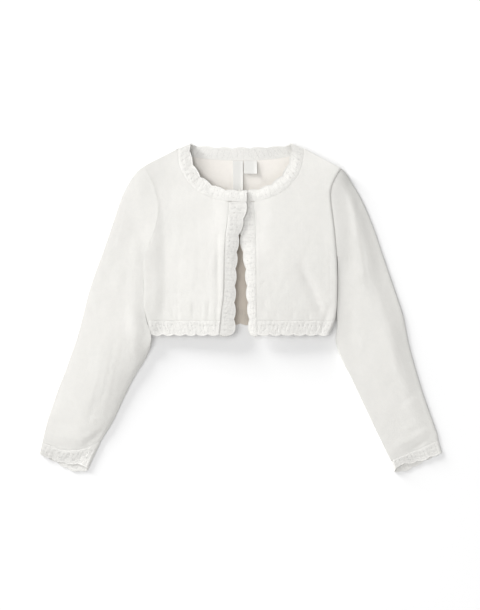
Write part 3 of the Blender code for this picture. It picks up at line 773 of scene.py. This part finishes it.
def front_height(side, x, y):
    """The top of the front layer over any point of the body."""
    centre = math.cos(math.pi / 2 * clamp01(abs(x) / BODY_HALF_WIDTH))
    length = mix(CROWN_AT_NECK, 1.0, ease(*CROWN_Y, y))
    loft = RIM_LOFT + CROWN_LOFT * centre * length
    loft -= HEM_SAG * ease(HEM_SAG_TOP, HEM_EDGE_Y, y)
    loft += CLOSURE_STEP[side] * ease(*CLOSURE_X, abs(x)) * ease(*CLOSURE_Y, y)
    seam = lookup(FRONT_EDGE[side], "y", "seam", y)
    edge = lookup(FRONT_EDGE[side], "y", "edge", y)
    past_seam = max(0.0, (x - seam) / (edge - seam) - DROOP_START)
    loft -= EDGE_DROOP * ease(*DROOP_Y, y) * min(past_seam, DROOP_LIMIT) ** DROOP_SHAPE
    loft -= relief(FRONT_CREASES[side], x, y) + trough(side, x, y)
    loft += unevenness(x, y, FRONT_SWELLS)
    from_neck_side = Vector((abs(x) - NECK_SEAM_TOP.x, y - NECK_SEAM_TOP.y)).length
    loft -= NECK_SIDE_DROP[side] * bell(from_neck_side, NECK_SIDE_REACH)
    from_edge = reach_at(side, y) - abs(x)
    turned_down = mix(SEAT, loft, rounded(from_edge, SIDE_RADIUS))
    rolled = loft - EDGE_ROLL[side] * (1 - rounded(from_edge, EDGE_ROLL_RADIUS))
    level = level_share(side, y)
    height = mix(turned_down, rolled, level)
    if y < UNDERARM_Y:
        held = SIDE_TURN_START + EDGES_MEET_REACH * EDGES_MEET[side] * level
        height = mix(SEAT, height, rounded(from_edge + held, SIDE_TURN_RADIUS))
    return mix(SEAT, height, rounded(shoulder_line_y(side, x) - y, SHOULDER_RADIUS))


def front_plan(side):
    """A front in plan, and the fraction of its top at which the neck gives way to the shoulder."""
    half_neck = neck_curve(NECK_SEAM_TOP, NECK_SEAM_DROP_FRONT, NECK_ROUNDNESS_FRONT)
    foot_x = abs(lookup(FRONT_EDGE[side], "y", "seam", half_neck[-1].y))
    foot = on_side(side, foot_x, half_neck[-1].y)
    neck = [foot] + [p for p in mirrored(side, half_neck[::-1]) if abs(p.x) > foot_x + NECK_FOOT_CLEAR]
    top, breaks = joined([path(neck), line(neck[-1], shoulder_point(side))])

    def strip_seam(v):
        y = mix(HEM_SEAM_Y, foot.y, v)
        return Vector((lookup(FRONT_EDGE[side], "y", "seam", y), y))

    def side_seam(v):
        return body_edge(side, mix(HEM_SEAM_Y, SHOULDER_POINT[side].y, v))

    def hem_seam(u):
        return on_side(side, mix(abs(strip_seam(0).x), reach_at(side, HEM_SEAM_Y), u), HEM_SEAM_Y)

    return patch(strip_seam, side_seam, hem_seam, top), breaks[1]


for side in SIGN:
    plan, neck_end = front_plan(side)

    def place_front(u, v, side=side, plan=plan, neck_end=neck_end):
        point = plan(u, v)
        dip = seam_dip(FRONT_HEM_DIP, v * FRONT_LENGTH)
        dip += seam_dip(FRONT_EDGE_DIP[side], u * FRONT_MEAN_WIDTH)
        if u < neck_end:
            dip += seam_dip(NECK_SEAM_DIP, (1 - v) * FRONT_LENGTH)
        return (point.x, point.y, front_height(side, point.x, point.y) - dip), (point.x, point.y), 0.0

    front = cloth("front_" + side, spread(FRONT_WIDTH, keep=[neck_end]), spread(FRONT_LENGTH),
                  place_front, knit, knit_inside)

# The strips down the fronts' free edges: the same openwork, linked to the fronts, rounded at the
# lower corner. The right one lies over the left one at the neck, and both droop into the gap below.
EDGE_SCALLOPS = 8
EDGE_LEDGE = {"right": 0.8, "left": 0.0}
EDGE_LEDGE_Y = (140.0, 30.0)
EDGE_CORNER_RADIUS = 14.0
EDGE_CORNER_WIDTH = 0.25
SCALLOP_MEAN = 0.55
EDGE_WIDTH = 19.0
edge_top_y = NECK_SEAM_TOP.y - NECK_SEAM_DROP_FRONT - SEAM_GAP
EDGE_LENGTH = edge_top_y - HEM_EDGE_Y

for side in SIGN:

    def place_edge_trim(w, v, side=side):
        y = mix(HEM_EDGE_Y, edge_top_y, v)
        seam = lookup(FRONT_EDGE[side], "y", "seam", y) - SIGN[side] * SEAM_GAP
        edge = lookup(FRONT_EDGE[side], "y", "edge", y)
        wave = SCALLOP_DEPTH * (scallop(v * EDGE_SCALLOPS) - SCALLOP_MEAN)
        corner = 1 - rounded(y - HEM_EDGE_Y, EDGE_CORNER_RADIUS)
        edge -= SIGN[side] * wave * (1 - corner)
        edge = mix(edge, mix(seam, edge, EDGE_CORNER_WIDTH), corner ** 2)
        x = mix(seam, edge, w)
        pattern, opened = openwork(v * EDGE_SCALLOPS, w, EDGE_LENGTH / EDGE_SCALLOPS, EDGE_WIDTH)
        height = front_height(side, x, y) - EDGE_LEDGE[side] * ease(*EDGE_LEDGE_Y, y)
        height += pattern - seam_dip(TRIM_SEAM_DIP, w * EDGE_WIDTH, (1 - v) * EDGE_LENGTH)
        return (x, y, height), (v * EDGE_LENGTH, w * EDGE_WIDTH), opened

    edge_trim = cloth("edge_trim_" + side, spread(EDGE_WIDTH, TRIM_PITCH), spread(EDGE_LENGTH, TRIM_PITCH),
                      place_edge_trim, trim_knit)

# The fronts' hem trims: strips of the openwork along each front's hem, from the edge strip round to
# the side, a little gathered by their seam.
HEM_SCALLOPS = 6
HEM_LENGTH = 98.0

for side in SIGN:

    def place_front_hem(u, w, side=side):
        scalloped = SCALLOP_DEPTH * (1 - scallop(u * HEM_SCALLOPS)) / HEM_WIDTH
        y = mix(HEM_SEAM_Y - SEAM_GAP, HEM_EDGE_Y, w * (1 - scalloped))
        inner = abs(lookup(FRONT_EDGE[side], "y", "seam", y)) + SEAM_GAP
        x = SIGN[side] * mix(inner, reach_at(side, y), u)
        pattern, opened = openwork(u * HEM_SCALLOPS, w, HEM_LENGTH / HEM_SCALLOPS, HEM_WIDTH)
        pattern *= ease(0.0, PATTERN_FADE, 1 - u)
        dip = seam_dip(TRIM_SEAM_DIP, w * HEM_WIDTH, u * HEM_LENGTH)
        height = front_height(side, x, y) + pattern - dip
        return (x, y, height), (x, y), opened

    hem_trim = cloth("hem_trim_" + side, spread(HEM_LENGTH, TRIM_PITCH), spread(HEM_WIDTH, TRIM_PITCH),
                     place_front_hem, trim_knit)

# The neck trim: one long strip of the openwork, up the right front's neck, over the shoulder fold,
# across the back and down the left front's neck. Its right end lies over its left end.
NECK_EDGE_DROP_FRONT = 63.0
NECK_EDGE_DROP_BACK = 5.0
NECK_FRONT_SCALLOPS = 6
NECK_BACK_SCALLOPS = 6
NECK_WIDTH = 18.0
NECK_END_CLEAR = 4.0
NECK_ROLL = 1.2
NECK_ROLL_START = 0.3
NECK_ROLL_REACH = 30.0
NECK_FOLD_RISE = 2.5
NECK_FOLD_REACH = 16.0
NECK_PATTERN_REACH = 8.0


def front_neck_curve(side, edge, drop, gap=0.0):
    points = mirrored(side, neck_curve(edge, drop, NECK_ROUNDNESS_FRONT, gap))
    end = Vector((lookup(FRONT_EDGE[side], "y", "edge", points[-1].y), points[-1].y))
    keep = [p for p in points if SIGN[side] * (p.x - end.x) > NECK_END_CLEAR]
    return path(keep + [end])


def back_neck_curve(edge, drop, gap=0.0):
    half = neck_curve(edge, drop, NECK_ROUNDNESS_BACK, gap)
    return path(mirrored("right", half)[::2] + half[-3::-2])


neck_seams = {"back": back_neck_curve(NECK_SEAM_TOP, NECK_SEAM_DROP_BACK, SEAM_GAP)}
neck_edges = {"back": back_neck_curve(NECK_EDGE_TOP, NECK_EDGE_DROP_BACK)}
for side in SIGN:
    neck_seams[side] = front_neck_curve(side, NECK_SEAM_TOP, NECK_SEAM_DROP_FRONT, SEAM_GAP)
    neck_edges[side] = front_neck_curve(side, NECK_EDGE_TOP, NECK_EDGE_DROP_FRONT)
front_neck_length = length_of(neck_seams["right"])
back_neck_length = length_of(neck_seams["back"])
front_fractions = spread(front_neck_length, TRIM_PITCH)
back_fractions = spread(back_neck_length, TRIM_PITCH)
neck_rows = [("right", f) for f in reversed(front_fractions)]
neck_rows += [("back", f) for f in back_fractions[1:]]
neck_rows += [("left", f) for f in front_fractions[1:]]


def place_neck(w, row):
    layer, f = row
    seam, edge = neck_seams[layer](f), neck_edges[layer](f)
    count = NECK_BACK_SCALLOPS if layer == "back" else NECK_FRONT_SCALLOPS
    length = back_neck_length if layer == "back" else front_neck_length
    width = (edge - seam).length
    turns = f * count + 0.5
    scalloped = SCALLOP_DEPTH * (1 - scallop(turns)) / width
    point = mix(seam, edge, w * (1 - scalloped))
    pattern, opened = openwork(turns, w, length / count, NECK_WIDTH)
    if layer == "back":
        from_fold = min(f, 1 - f) * length
        height = NECK_FOLD_RISE * ease(NECK_FOLD_REACH, 0.0, from_fold) * w
    else:
        from_fold = f * length
        pattern *= ease(0.0, NECK_PATTERN_REACH, from_fold)
        roll = NECK_ROLL * ease(NECK_ROLL_START, 1.0, w) * ease(0.0, NECK_ROLL_REACH, from_fold)
        height = front_height(layer, point.x, point.y) + pattern - roll
        height -= seam_dip(NECK_SEAM_DIP, w * NECK_WIDTH)
    along = {"right": -f, "back": f, "left": 1 + f}[layer] * length
    return (point.x, point.y, height), (along, w * NECK_WIDTH), opened


neck_trim = cloth("neck_trim", spread(NECK_WIDTH, TRIM_PITCH), neck_rows, place_neck, trim_knit)

# The sleeves: tubes of the plain knit, flattened as they lie, set in at the armholes and falling
# beside the body. The cloth creases across the elbow and bunches a little above the cuffs.
SLEEVE_LENGTH = 390.0
SLEEVE_SPAN = 72.0
UNDERSIDE_PITCH = 1.6 * PITCH
SLEEVE_EDGE_RADIUS = 1.2
SLEEVE_OUTER_RADIUS = {"right": 0.48, "left": 4.08}
SLEEVE_INNER_RADIUS = {"right": 6.0, "left": 0.2}
SLEEVE_MEETING_RADIUS = 0.2
SLEEVE_END_DIP = 1.2
SLEEVE_END_REACH = 21.0
SLEEVE_SEAM_REACH = 24.0
SLEEVE_SEAM_DIP = {"right": 0.02, "left": 0.1}
SLEEVE_SWELLS = [Swell(24.0, 0.25), Swell(8.0, 0.09), Swell(4.0, 0.03)]
FOREARM_SWELLS = [Swell(6.0, 0.13)]
FOREARM_STRETCH = 1.5
FOREARM_Y = (-20.0, -60.0)
FOREARM_X = (190.0, 160.0)
FOREARM_LEAN = 0.35
SLEEVE_BODY_GAP = {"right": 0.06, "left": 0.4}
SLEEVE_BODY_STEP = {"right": 0.1, "left": 1.1}
SLEEVE_BODY_STEP_Y = (UNDERARM_Y + 5.0, UNDERARM_Y - 15.0)
ARMHOLE_GAP = 0.06
ARMHOLE_INSET = 0.3
SLEEVE_HEAD = 0.14
SLEEVE_HEAD_SLOPE = 260.0
SLEEVE_HEAD_SHAPE = 0.6
SLEEVE_OUTER = {
    "right": [(136.5, 188), (148.5, 178), (157.5, 158), (168, 128), (181.2, 89), (194, 54.3),
              (205.5, 20), (218.4, -30), (232, -70.5), (247.4, -111), (261, -151), (268.2, -180)],
    "left": [(140, 185.6), (146.5, 180), (153.5, 165), (166.4, 139.4), (179.9, 106.3), (192.7, 68.5),
             (205.5, 31.4), (219, -9.8), (228, -53), (244.7, -111), (263.6, -165), (266.6, -178.4)],
}
SLEEVE_INNER = {
    "right": [(126.4, -18), (120.6, -37), (121.8, -53), (129.5, -70.5), (144.5, -95), (159, -124.5),
              (172.5, -153), (188.2, -179)],
    "left": [(130.2, -24), (128.6, -46), (135.3, -67.8), (148, -93), (161, -120.5), (174.5, -148.8),
             (188, -177.2), (202, -205.5)],
}
SLEEVE_INNER_START_Y = (70, 45, 20, -3)
CUFF_SEAM_BULGE = {"right": 12.3, "left": 0.5}

SleeveRow = namedtuple("SleeveRow", "along height crest outer inner")
SLEEVE_LOFT = {
    "right": [
        SleeveRow(0.0, 10.6, 0.5, 0.04, 0.0),
        SleeveRow(0.15, 11.2, 0.45, 0.04, 0.02),
        SleeveRow(0.3, 11.8, 0.4, 0.04, 0.0),
        SleeveRow(0.42, 12.0, 0.36, 0.04, 0.06),
        SleeveRow(0.5, 11.8, 0.35, 0.04, 0.56),
        SleeveRow(0.75, 10.0, 0.35, 0.04, 0.6),
        SleeveRow(1.0, 5.4, 0.4, 0.04, 0.4),
    ],
    "left": [
        SleeveRow(0.0, 7.4, 0.64, 0.68, 0.05),
        SleeveRow(0.15, 8.2, 0.74, 0.7, 0.04),
        SleeveRow(0.3, 8.6, 0.68, 0.74, 0.06),
        SleeveRow(0.5, 7.9, 0.54, 0.66, 0.05),
        SleeveRow(0.75, 6.7, 0.5, 0.6, 0.05),
        SleeveRow(1.0, 4.3, 0.5, 0.4, 0.05),
    ],
}
SLEEVE_FALL_SHAPE = {"right": 2.6, "left": 2.4}
LEFT_FALL_START = (0.66, 0.27)
LEFT_FALL_SPREAD = (0.0, 0.4)
LEFT_FALL_END = 1.04
LEFT_FALL_SHAPE = 1.5
SLEEVE_CREASES = {
    "right": [
        Crease(-172, 60, -188, 0, 10.0, 0.33),
        Crease(-214, -60, -178, -84, 6.0, 0.16),
        Crease(-240, -118, -212, -140, 6.0, 0.26),
        Crease(-252, -152, -224, -160, 5.0, 0.23),
        Crease(-186, -110, -204, -150, 6.0, 0.33),
        Crease(-187, -166, -208, -182, 3.6, 0.78),
        Crease(-168, -44, -195, -160, 2.4, 0.16),
        Crease(-160, -57, -184, -164, 2.0, 0.14),
        Crease(-179, -57, -206, -158, 2.8, 0.13),
        Crease(-168, -20, -178, -80, 2.6, 0.1),
    ],
    "left": [
        Crease(157, 150, 164, 60, 4.0, 0.2),
        Crease(164, 90, 172, 24, 3.0, 0.2),
        Crease(178, 48, 198, -30, 5.0, -0.23),
        Crease(200, -38, 214, -96, 5.0, -0.2),
        Crease(163, 90, 172, 30, 1.8, 0.14),
        Crease(168, 88, 176, 40, 1.8, 0.13),
        Crease(204, -110, 232, -136, 2.4, 0.16),
        Crease(214, -108, 238, -126, 2.2, 0.13),
        Crease(216, -90, 200, -106, 5.0, 0.16),
        Crease(236, -114, 212, -132, 5.0, 0.23),
        Crease(246, -160, 224, -170, 4.0, 0.26),
        Crease(232, -190, 254, -176, 2.6, 0.39),
        Crease(146, 20, 150, -50, 8.0, 0.33),
    ],
}
SLEEVE_SIDE_LIFT = {"right": 4.5, "left": 0.0}
SIDE_LIFT_FROM = (0.04, 0.16)
SIDE_LIFT_TO = (0.5, 0.38)


def sleeve_plan(side):
    """A sleeve's two layers in plan: u from the armhole to the cuff seam, v from its outer edge to
    its inner."""
    tip = shoulder_point(side)
    aside = Vector((SIGN[side] * ARMHOLE_GAP, 0))
    outer = path([tip + aside] + [on_side(side, x, y) for x, y in SLEEVE_OUTER[side]])
    wider = SLEEVE_BODY_GAP[side] / ARMHOLE_GAP
    last = len(SLEEVE_INNER_START_Y) - 1
    beside = [
        body_edge(side, y) + aside * mix(1.0, wider, i / last)
        for i, y in enumerate(SLEEVE_INNER_START_Y)
    ]
    inner = path(beside + [on_side(side, x, y) for x, y in SLEEVE_INNER[side]])

    def at(u, v):
        armhole = body_edge(side, mix(tip.y, UNDERARM_Y, v)) + aside
        round_arm = math.sin(math.pi * v) ** SLEEVE_HEAD_SHAPE
        head = armhole + Vector((SIGN[side] * u * SLEEVE_HEAD_SLOPE * round_arm, 0))
        bulge = u * CUFF_SEAM_BULGE[side] * math.sin(math.pi * v)
        chord = mix(outer(u), inner(u), v) - Vector((0, bulge))
        return mix(head, chord, ease(0, SLEEVE_HEAD, u))

    return at


def sleeve_top(side, u, v, x, y):
    """Height of a sleeve's upper layer."""
    height = lookup(SLEEVE_LOFT[side], "along", "height", u)
    crest = lookup(SLEEVE_LOFT[side], "along", "crest", u)
    fall = lookup(SLEEVE_LOFT[side], "along", "outer" if v < crest else "inner", u)
    away = abs(v - crest) / (crest if v < crest else 1 - crest)
    fallen = away ** SLEEVE_FALL_SHAPE[side]
    if side == "left" and v < crest:
        start = mix(*LEFT_FALL_START, ease(*LEFT_FALL_SPREAD, u))
        fallen = ease(start, LEFT_FALL_END, away) ** LEFT_FALL_SHAPE
    loft = height * (1 - fall * fallen) - relief(SLEEVE_CREASES[side], x, y)
    loft += unevenness(x, y, SLEEVE_SWELLS)
    if side == "right":
        across = abs(x) + FOREARM_LEAN * (y - FOREARM_Y[1])
        wrinkled = ease(*FOREARM_Y, y) * ease(*FOREARM_X, across)
        loft += wrinkled * unevenness(x, FOREARM_STRETCH * y, FOREARM_SWELLS)
    near_cuff = ease(SLEEVE_END_REACH, 0, (1 - u) * SLEEVE_LENGTH)
    loft -= trough(side, x, y) + SLEEVE_END_DIP * near_cuff * math.sin(math.pi * v)
    beside = front_height(side, SIGN[side] * (reach_at(side, y) - ARMHOLE_INSET), y)
    beside -= SLEEVE_BODY_STEP[side] * ease(*SLEEVE_BODY_STEP_Y, y)
    from_body = abs(x) - reach_at(side, y)
    return mix(loft, beside, ease(SLEEVE_SEAM_REACH, 0, from_body) * level_share(side, y))


def ring(top_steps, bottom_steps):
    """Stations round a flattened tube: over its top from the outer edge to the inner, and back
    underneath."""
    over = [("top", v) for v in top_steps]
    under = [("bottom", v) for v in reversed(bottom_steps)]
    return over + under[1:-1] + [("top", 0.0)]


def tube_height(layer, v, width, top, outer_radius, inner_radius, lifted=0.0):
    """Height on a flattened tube: its edges are half rounds, and its underside lies flat. Where the
    sleeve leans on the body, its inner edge is lifted."""
    from_edge = min(v, 1 - v) * width
    edge = SLEEVE_EDGE_RADIUS + (lifted if v > 0.5 else 0.0)
    if layer == "bottom":
        return edge * (1 - rounded(from_edge, edge))
    radius = inner_radius if v > 0.5 else outer_radius
    return mix(edge, top, rounded(from_edge, radius))


for side in SIGN:
    plan = sleeve_plan(side)

    def place_sleeve(station, u, side=side, plan=plan):
        layer, v = station
        point = plan(u, v)
        width = (plan(u, 1) - plan(u, 0)).length
        top = sleeve_top(side, u, v, point.x, point.y)
        lifted = SLEEVE_SIDE_LIFT[side] * ease(*SIDE_LIFT_FROM, u) * ease(*SIDE_LIFT_TO, u)
        level = level_share(side, point.y)
        inner_radius = mix(SLEEVE_INNER_RADIUS[side], SLEEVE_MEETING_RADIUS, level)
        height = tube_height(layer, v, width, top, SLEEVE_OUTER_RADIUS[side], inner_radius, lifted)
        if layer == "top" and v == 1.0:
            height = mix(height, top, level ** 6 * EDGES_MEET[side])
        if layer == "top":
            height -= seam_dip(SLEEVE_SEAM_DIP[side], u * SLEEVE_LENGTH)
            height -= seam_dip(TRIM_SEAM_DIP, (1 - u) * SLEEVE_LENGTH)
        around = (v if layer == "top" else 2 - v) * SLEEVE_SPAN
        return (point.x, point.y, height), (around, u * SLEEVE_LENGTH), 0.0

    stations = ring(spread(SLEEVE_SPAN), spread(SLEEVE_SPAN, UNDERSIDE_PITCH))
    sleeve = cloth("sleeve_" + side, stations, spread(SLEEVE_LENGTH), place_sleeve,
                   knit, knit_inside, ring=True)

# The cuffs: rings of the openwork linked to the sleeve ends. The lower layer shows a little below
# the upper one.
CUFF_SCALLOPS = 4
CUFF_DROOP = {"right": 2.4, "left": 0.9}
CUFF_DROOP_START = 0.1
CUFF_INNER_RADIUS = 4.4
CUFF_SEAM_GAP = 0.1
CUFF_OUTER_END = {"right": (271.6, -196.8), "left": (271.6, -195.5)}
CUFF_INNER_END = {"right": (207.0, -219.5), "left": (207.0, -221.2)}
CUFF_END_BULGE = {"right": 2.6, "left": 0.8}
CUFF_DRAW_BACK = 5.5
CUFF_DRAW_BACK_SHAPE = 4.0
CUFF_UNDERLAP = {"right": 5.5, "left": 4.5}
CUFF_UNDERLAP_SHAPE = 2.2
CUFF_WIDTH = 18.0
CUFF_SPAN = 68.0

for side in SIGN:
    plan = sleeve_plan(side)
    outer_end = on_side(side, *CUFF_OUTER_END[side])
    inner_end = on_side(side, *CUFF_INNER_END[side])
    down = (outer_end - plan(1, 0)).normalized()

    def place_cuff(station, w, side=side, plan=plan, outer_end=outer_end, inner_end=inner_end, down=down):
        layer, v = station
        seam = plan(1, v) + down * CUFF_SEAM_GAP
        middle = math.sin(math.pi * v)
        end = mix(outer_end, inner_end, v) + down * CUFF_END_BULGE[side] * middle
        turns = v * CUFF_SCALLOPS + (0.0 if layer == "top" else 0.5)
        notch = SCALLOP_DEPTH * (1 - scallop(turns)) * middle ** 0.5
        if layer == "bottom":
            beyond = CUFF_UNDERLAP[side] * math.sin(math.pi * v ** CUFF_UNDERLAP_SHAPE)
        else:
            beyond = -CUFF_DRAW_BACK * math.sin(math.pi * v ** CUFF_DRAW_BACK_SHAPE)
        reach = 1 + (beyond - notch) / (end - seam).length
        point = mix(seam, end, w * reach)
        pattern, opened = openwork(turns, w, CUFF_SPAN / CUFF_SCALLOPS, CUFF_WIDTH)
        pattern *= ease(0.0, PATTERN_FADE, min(v, 1 - v))
        top = sleeve_top(side, 1, v, plan(1, v).x, plan(1, v).y) + pattern
        top -= seam_dip(TRIM_SEAM_DIP, w * CUFF_WIDTH)
        top -= CUFF_DROOP[side] * ease(CUFF_DROOP_START, 1.0, w) * middle
        height = tube_height(layer, v, CUFF_SPAN, top, SLEEVE_OUTER_RADIUS[side], CUFF_INNER_RADIUS)
        around = (v if layer == "top" else 2 - v) * CUFF_SPAN
        return (point.x, point.y, height), (around, w * CUFF_WIDTH), opened

    stations = spread(CUFF_SPAN, TRIM_PITCH)
    cuff = cloth("cuff_trim_" + side, ring(stations, stations), spread(CUFF_WIDTH, TRIM_PITCH),
                 place_cuff, trim_knit, ring=True)

# The two labels: plain woven tape, sewn on at the back neck seam, its free edges standing a little
# off the cloth.
LABEL_BASE = 2.3
LABEL_WALL = 0.45
LABEL_HANG = 1.2
LABEL_CURL = 0.8
LABEL_CURL_SHAPE = 3
LABEL_PITCH = 1.0
Label = namedtuple("Label", "name x0 y0 x1 y1 lift")
LABELS = [
    Label("main_label", -10.5, 158.0, 3.0, 198.6, 0.8),
    Label("size_tab", 4.4, 181.0, 22.0, 198.8, 1.0),
]


def woven_tape(name):
    """Smooth close-woven tape, a little whiter than the knit."""
    made, shader = plain_material(name)
    tree = made.node_tree
    shader.inputs["Roughness"].default_value = 0.7
    shader.inputs["Specular IOR Level"].default_value = 0.25
    split = tree.nodes.new("ShaderNodeSeparateXYZ")
    tree.links.new(thread_place(tree), split.inputs[0])
    warp = math_node(tree, "PINGPONG", math_node(tree, "DIVIDE", split.outputs["X"], 0.35 * MM), 0.5)
    weft = math_node(tree, "PINGPONG", math_node(tree, "DIVIDE", split.outputs["Y"], 0.28 * MM), 0.5)
    weave = math_node(tree, "ADD", warp, weft)
    colour = blend_colour(tree, weave, (0.68, 0.675, 0.65), (0.75, 0.745, 0.72))
    tree.links.new(colour, shader.inputs["Base Color"])
    raise_surface(tree, shader, weave, strength=0.4, distance=0.08)
    return made


tape = woven_tape("label_cloth")
for label in LABELS:

    def place_label(u, v, label=label):
        x = mix(label.x0, label.x1, u)
        y = mix(label.y0, label.y1, v)
        curl = LABEL_CURL * max(0.0, 2 * u - 1) ** LABEL_CURL_SHAPE * (1 - v / 2)
        height = LABEL_BASE + label.lift * ((1 - v) ** LABEL_HANG + curl)
        return (x, y, height), (x, y), 0.0

    width, length = label.x1 - label.x0, label.y1 - label.y0
    tab = cloth(label.name, spread(width, LABEL_PITCH), spread(length, LABEL_PITCH), place_label, tape,
                wall=LABEL_WALL)

# The studio: a white sweep that the cardigan lies on, a broad soft light from the upper left and a
# camera straight above, framed as the photograph is.
FLOOR_DROP = 0.3
FLOOR_SIZE = 6.0
VIEW_CENTRE = Vector((-1.01, 3.71))
VIEW_HEIGHT = 823.5
CAMERA_HEIGHT = 3.2

bm = bmesh.new()
bmesh.ops.create_grid(bm, x_segments=4, y_segments=4, size=FLOOR_SIZE / 2)
bmesh.ops.translate(bm, verts=bm.verts, vec=(0, 0, -FLOOR_DROP * MM))
floor_mesh = bpy.data.meshes.new("floor")
bm.to_mesh(floor_mesh)
bm.free()
floor = added("floor", floor_mesh)
sweep, paper = plain_material("white_sweep")
paper.inputs["Base Color"].default_value = (0.92, 0.92, 0.92, 1.0)
paper.inputs["Roughness"].default_value = 0.9
paper.inputs["Specular IOR Level"].default_value = 0.0
floor_mesh.materials.append(sweep)


def soft_light(name, place, size, power):
    data = bpy.data.lights.new(name, "AREA")
    data.shape = "DISK"
    data.size = size
    data.energy = power
    lamp = added(name, data)
    lamp.location = place
    lamp.rotation_mode = "QUATERNION"
    lamp.rotation_quaternion = (-Vector(place)).to_track_quat("-Z", "Y")


soft_light("key", place=(-4.5, 0.8, 9.0), size=6.6, power=372.0)
soft_light("low", place=(-7.3, 6.3, 2.15), size=4.0, power=1340.0)
soft_light("fill", place=(1.0, -8.0, 7.2), size=6.6, power=205.0)

world = bpy.data.worlds.new("studio")
bpy.context.scene.world = world
world.use_nodes = True
world.node_tree.nodes["Background"].inputs["Color"].default_value = (1.0, 1.0, 1.0, 1.0)
world.node_tree.nodes["Background"].inputs["Strength"].default_value = 0.43

lens = bpy.data.cameras.new("camera")
lens.sensor_width = 36.0
lens.lens = lens.sensor_width * CAMERA_HEIGHT / (VIEW_HEIGHT * MM)
camera = added("camera", lens)
camera.location = (VIEW_CENTRE.x * MM, VIEW_CENTRE.y * MM, CAMERA_HEIGHT)
bpy.context.scene.camera = camera
bpy.context.scene.view_settings.view_transform = "Standard"
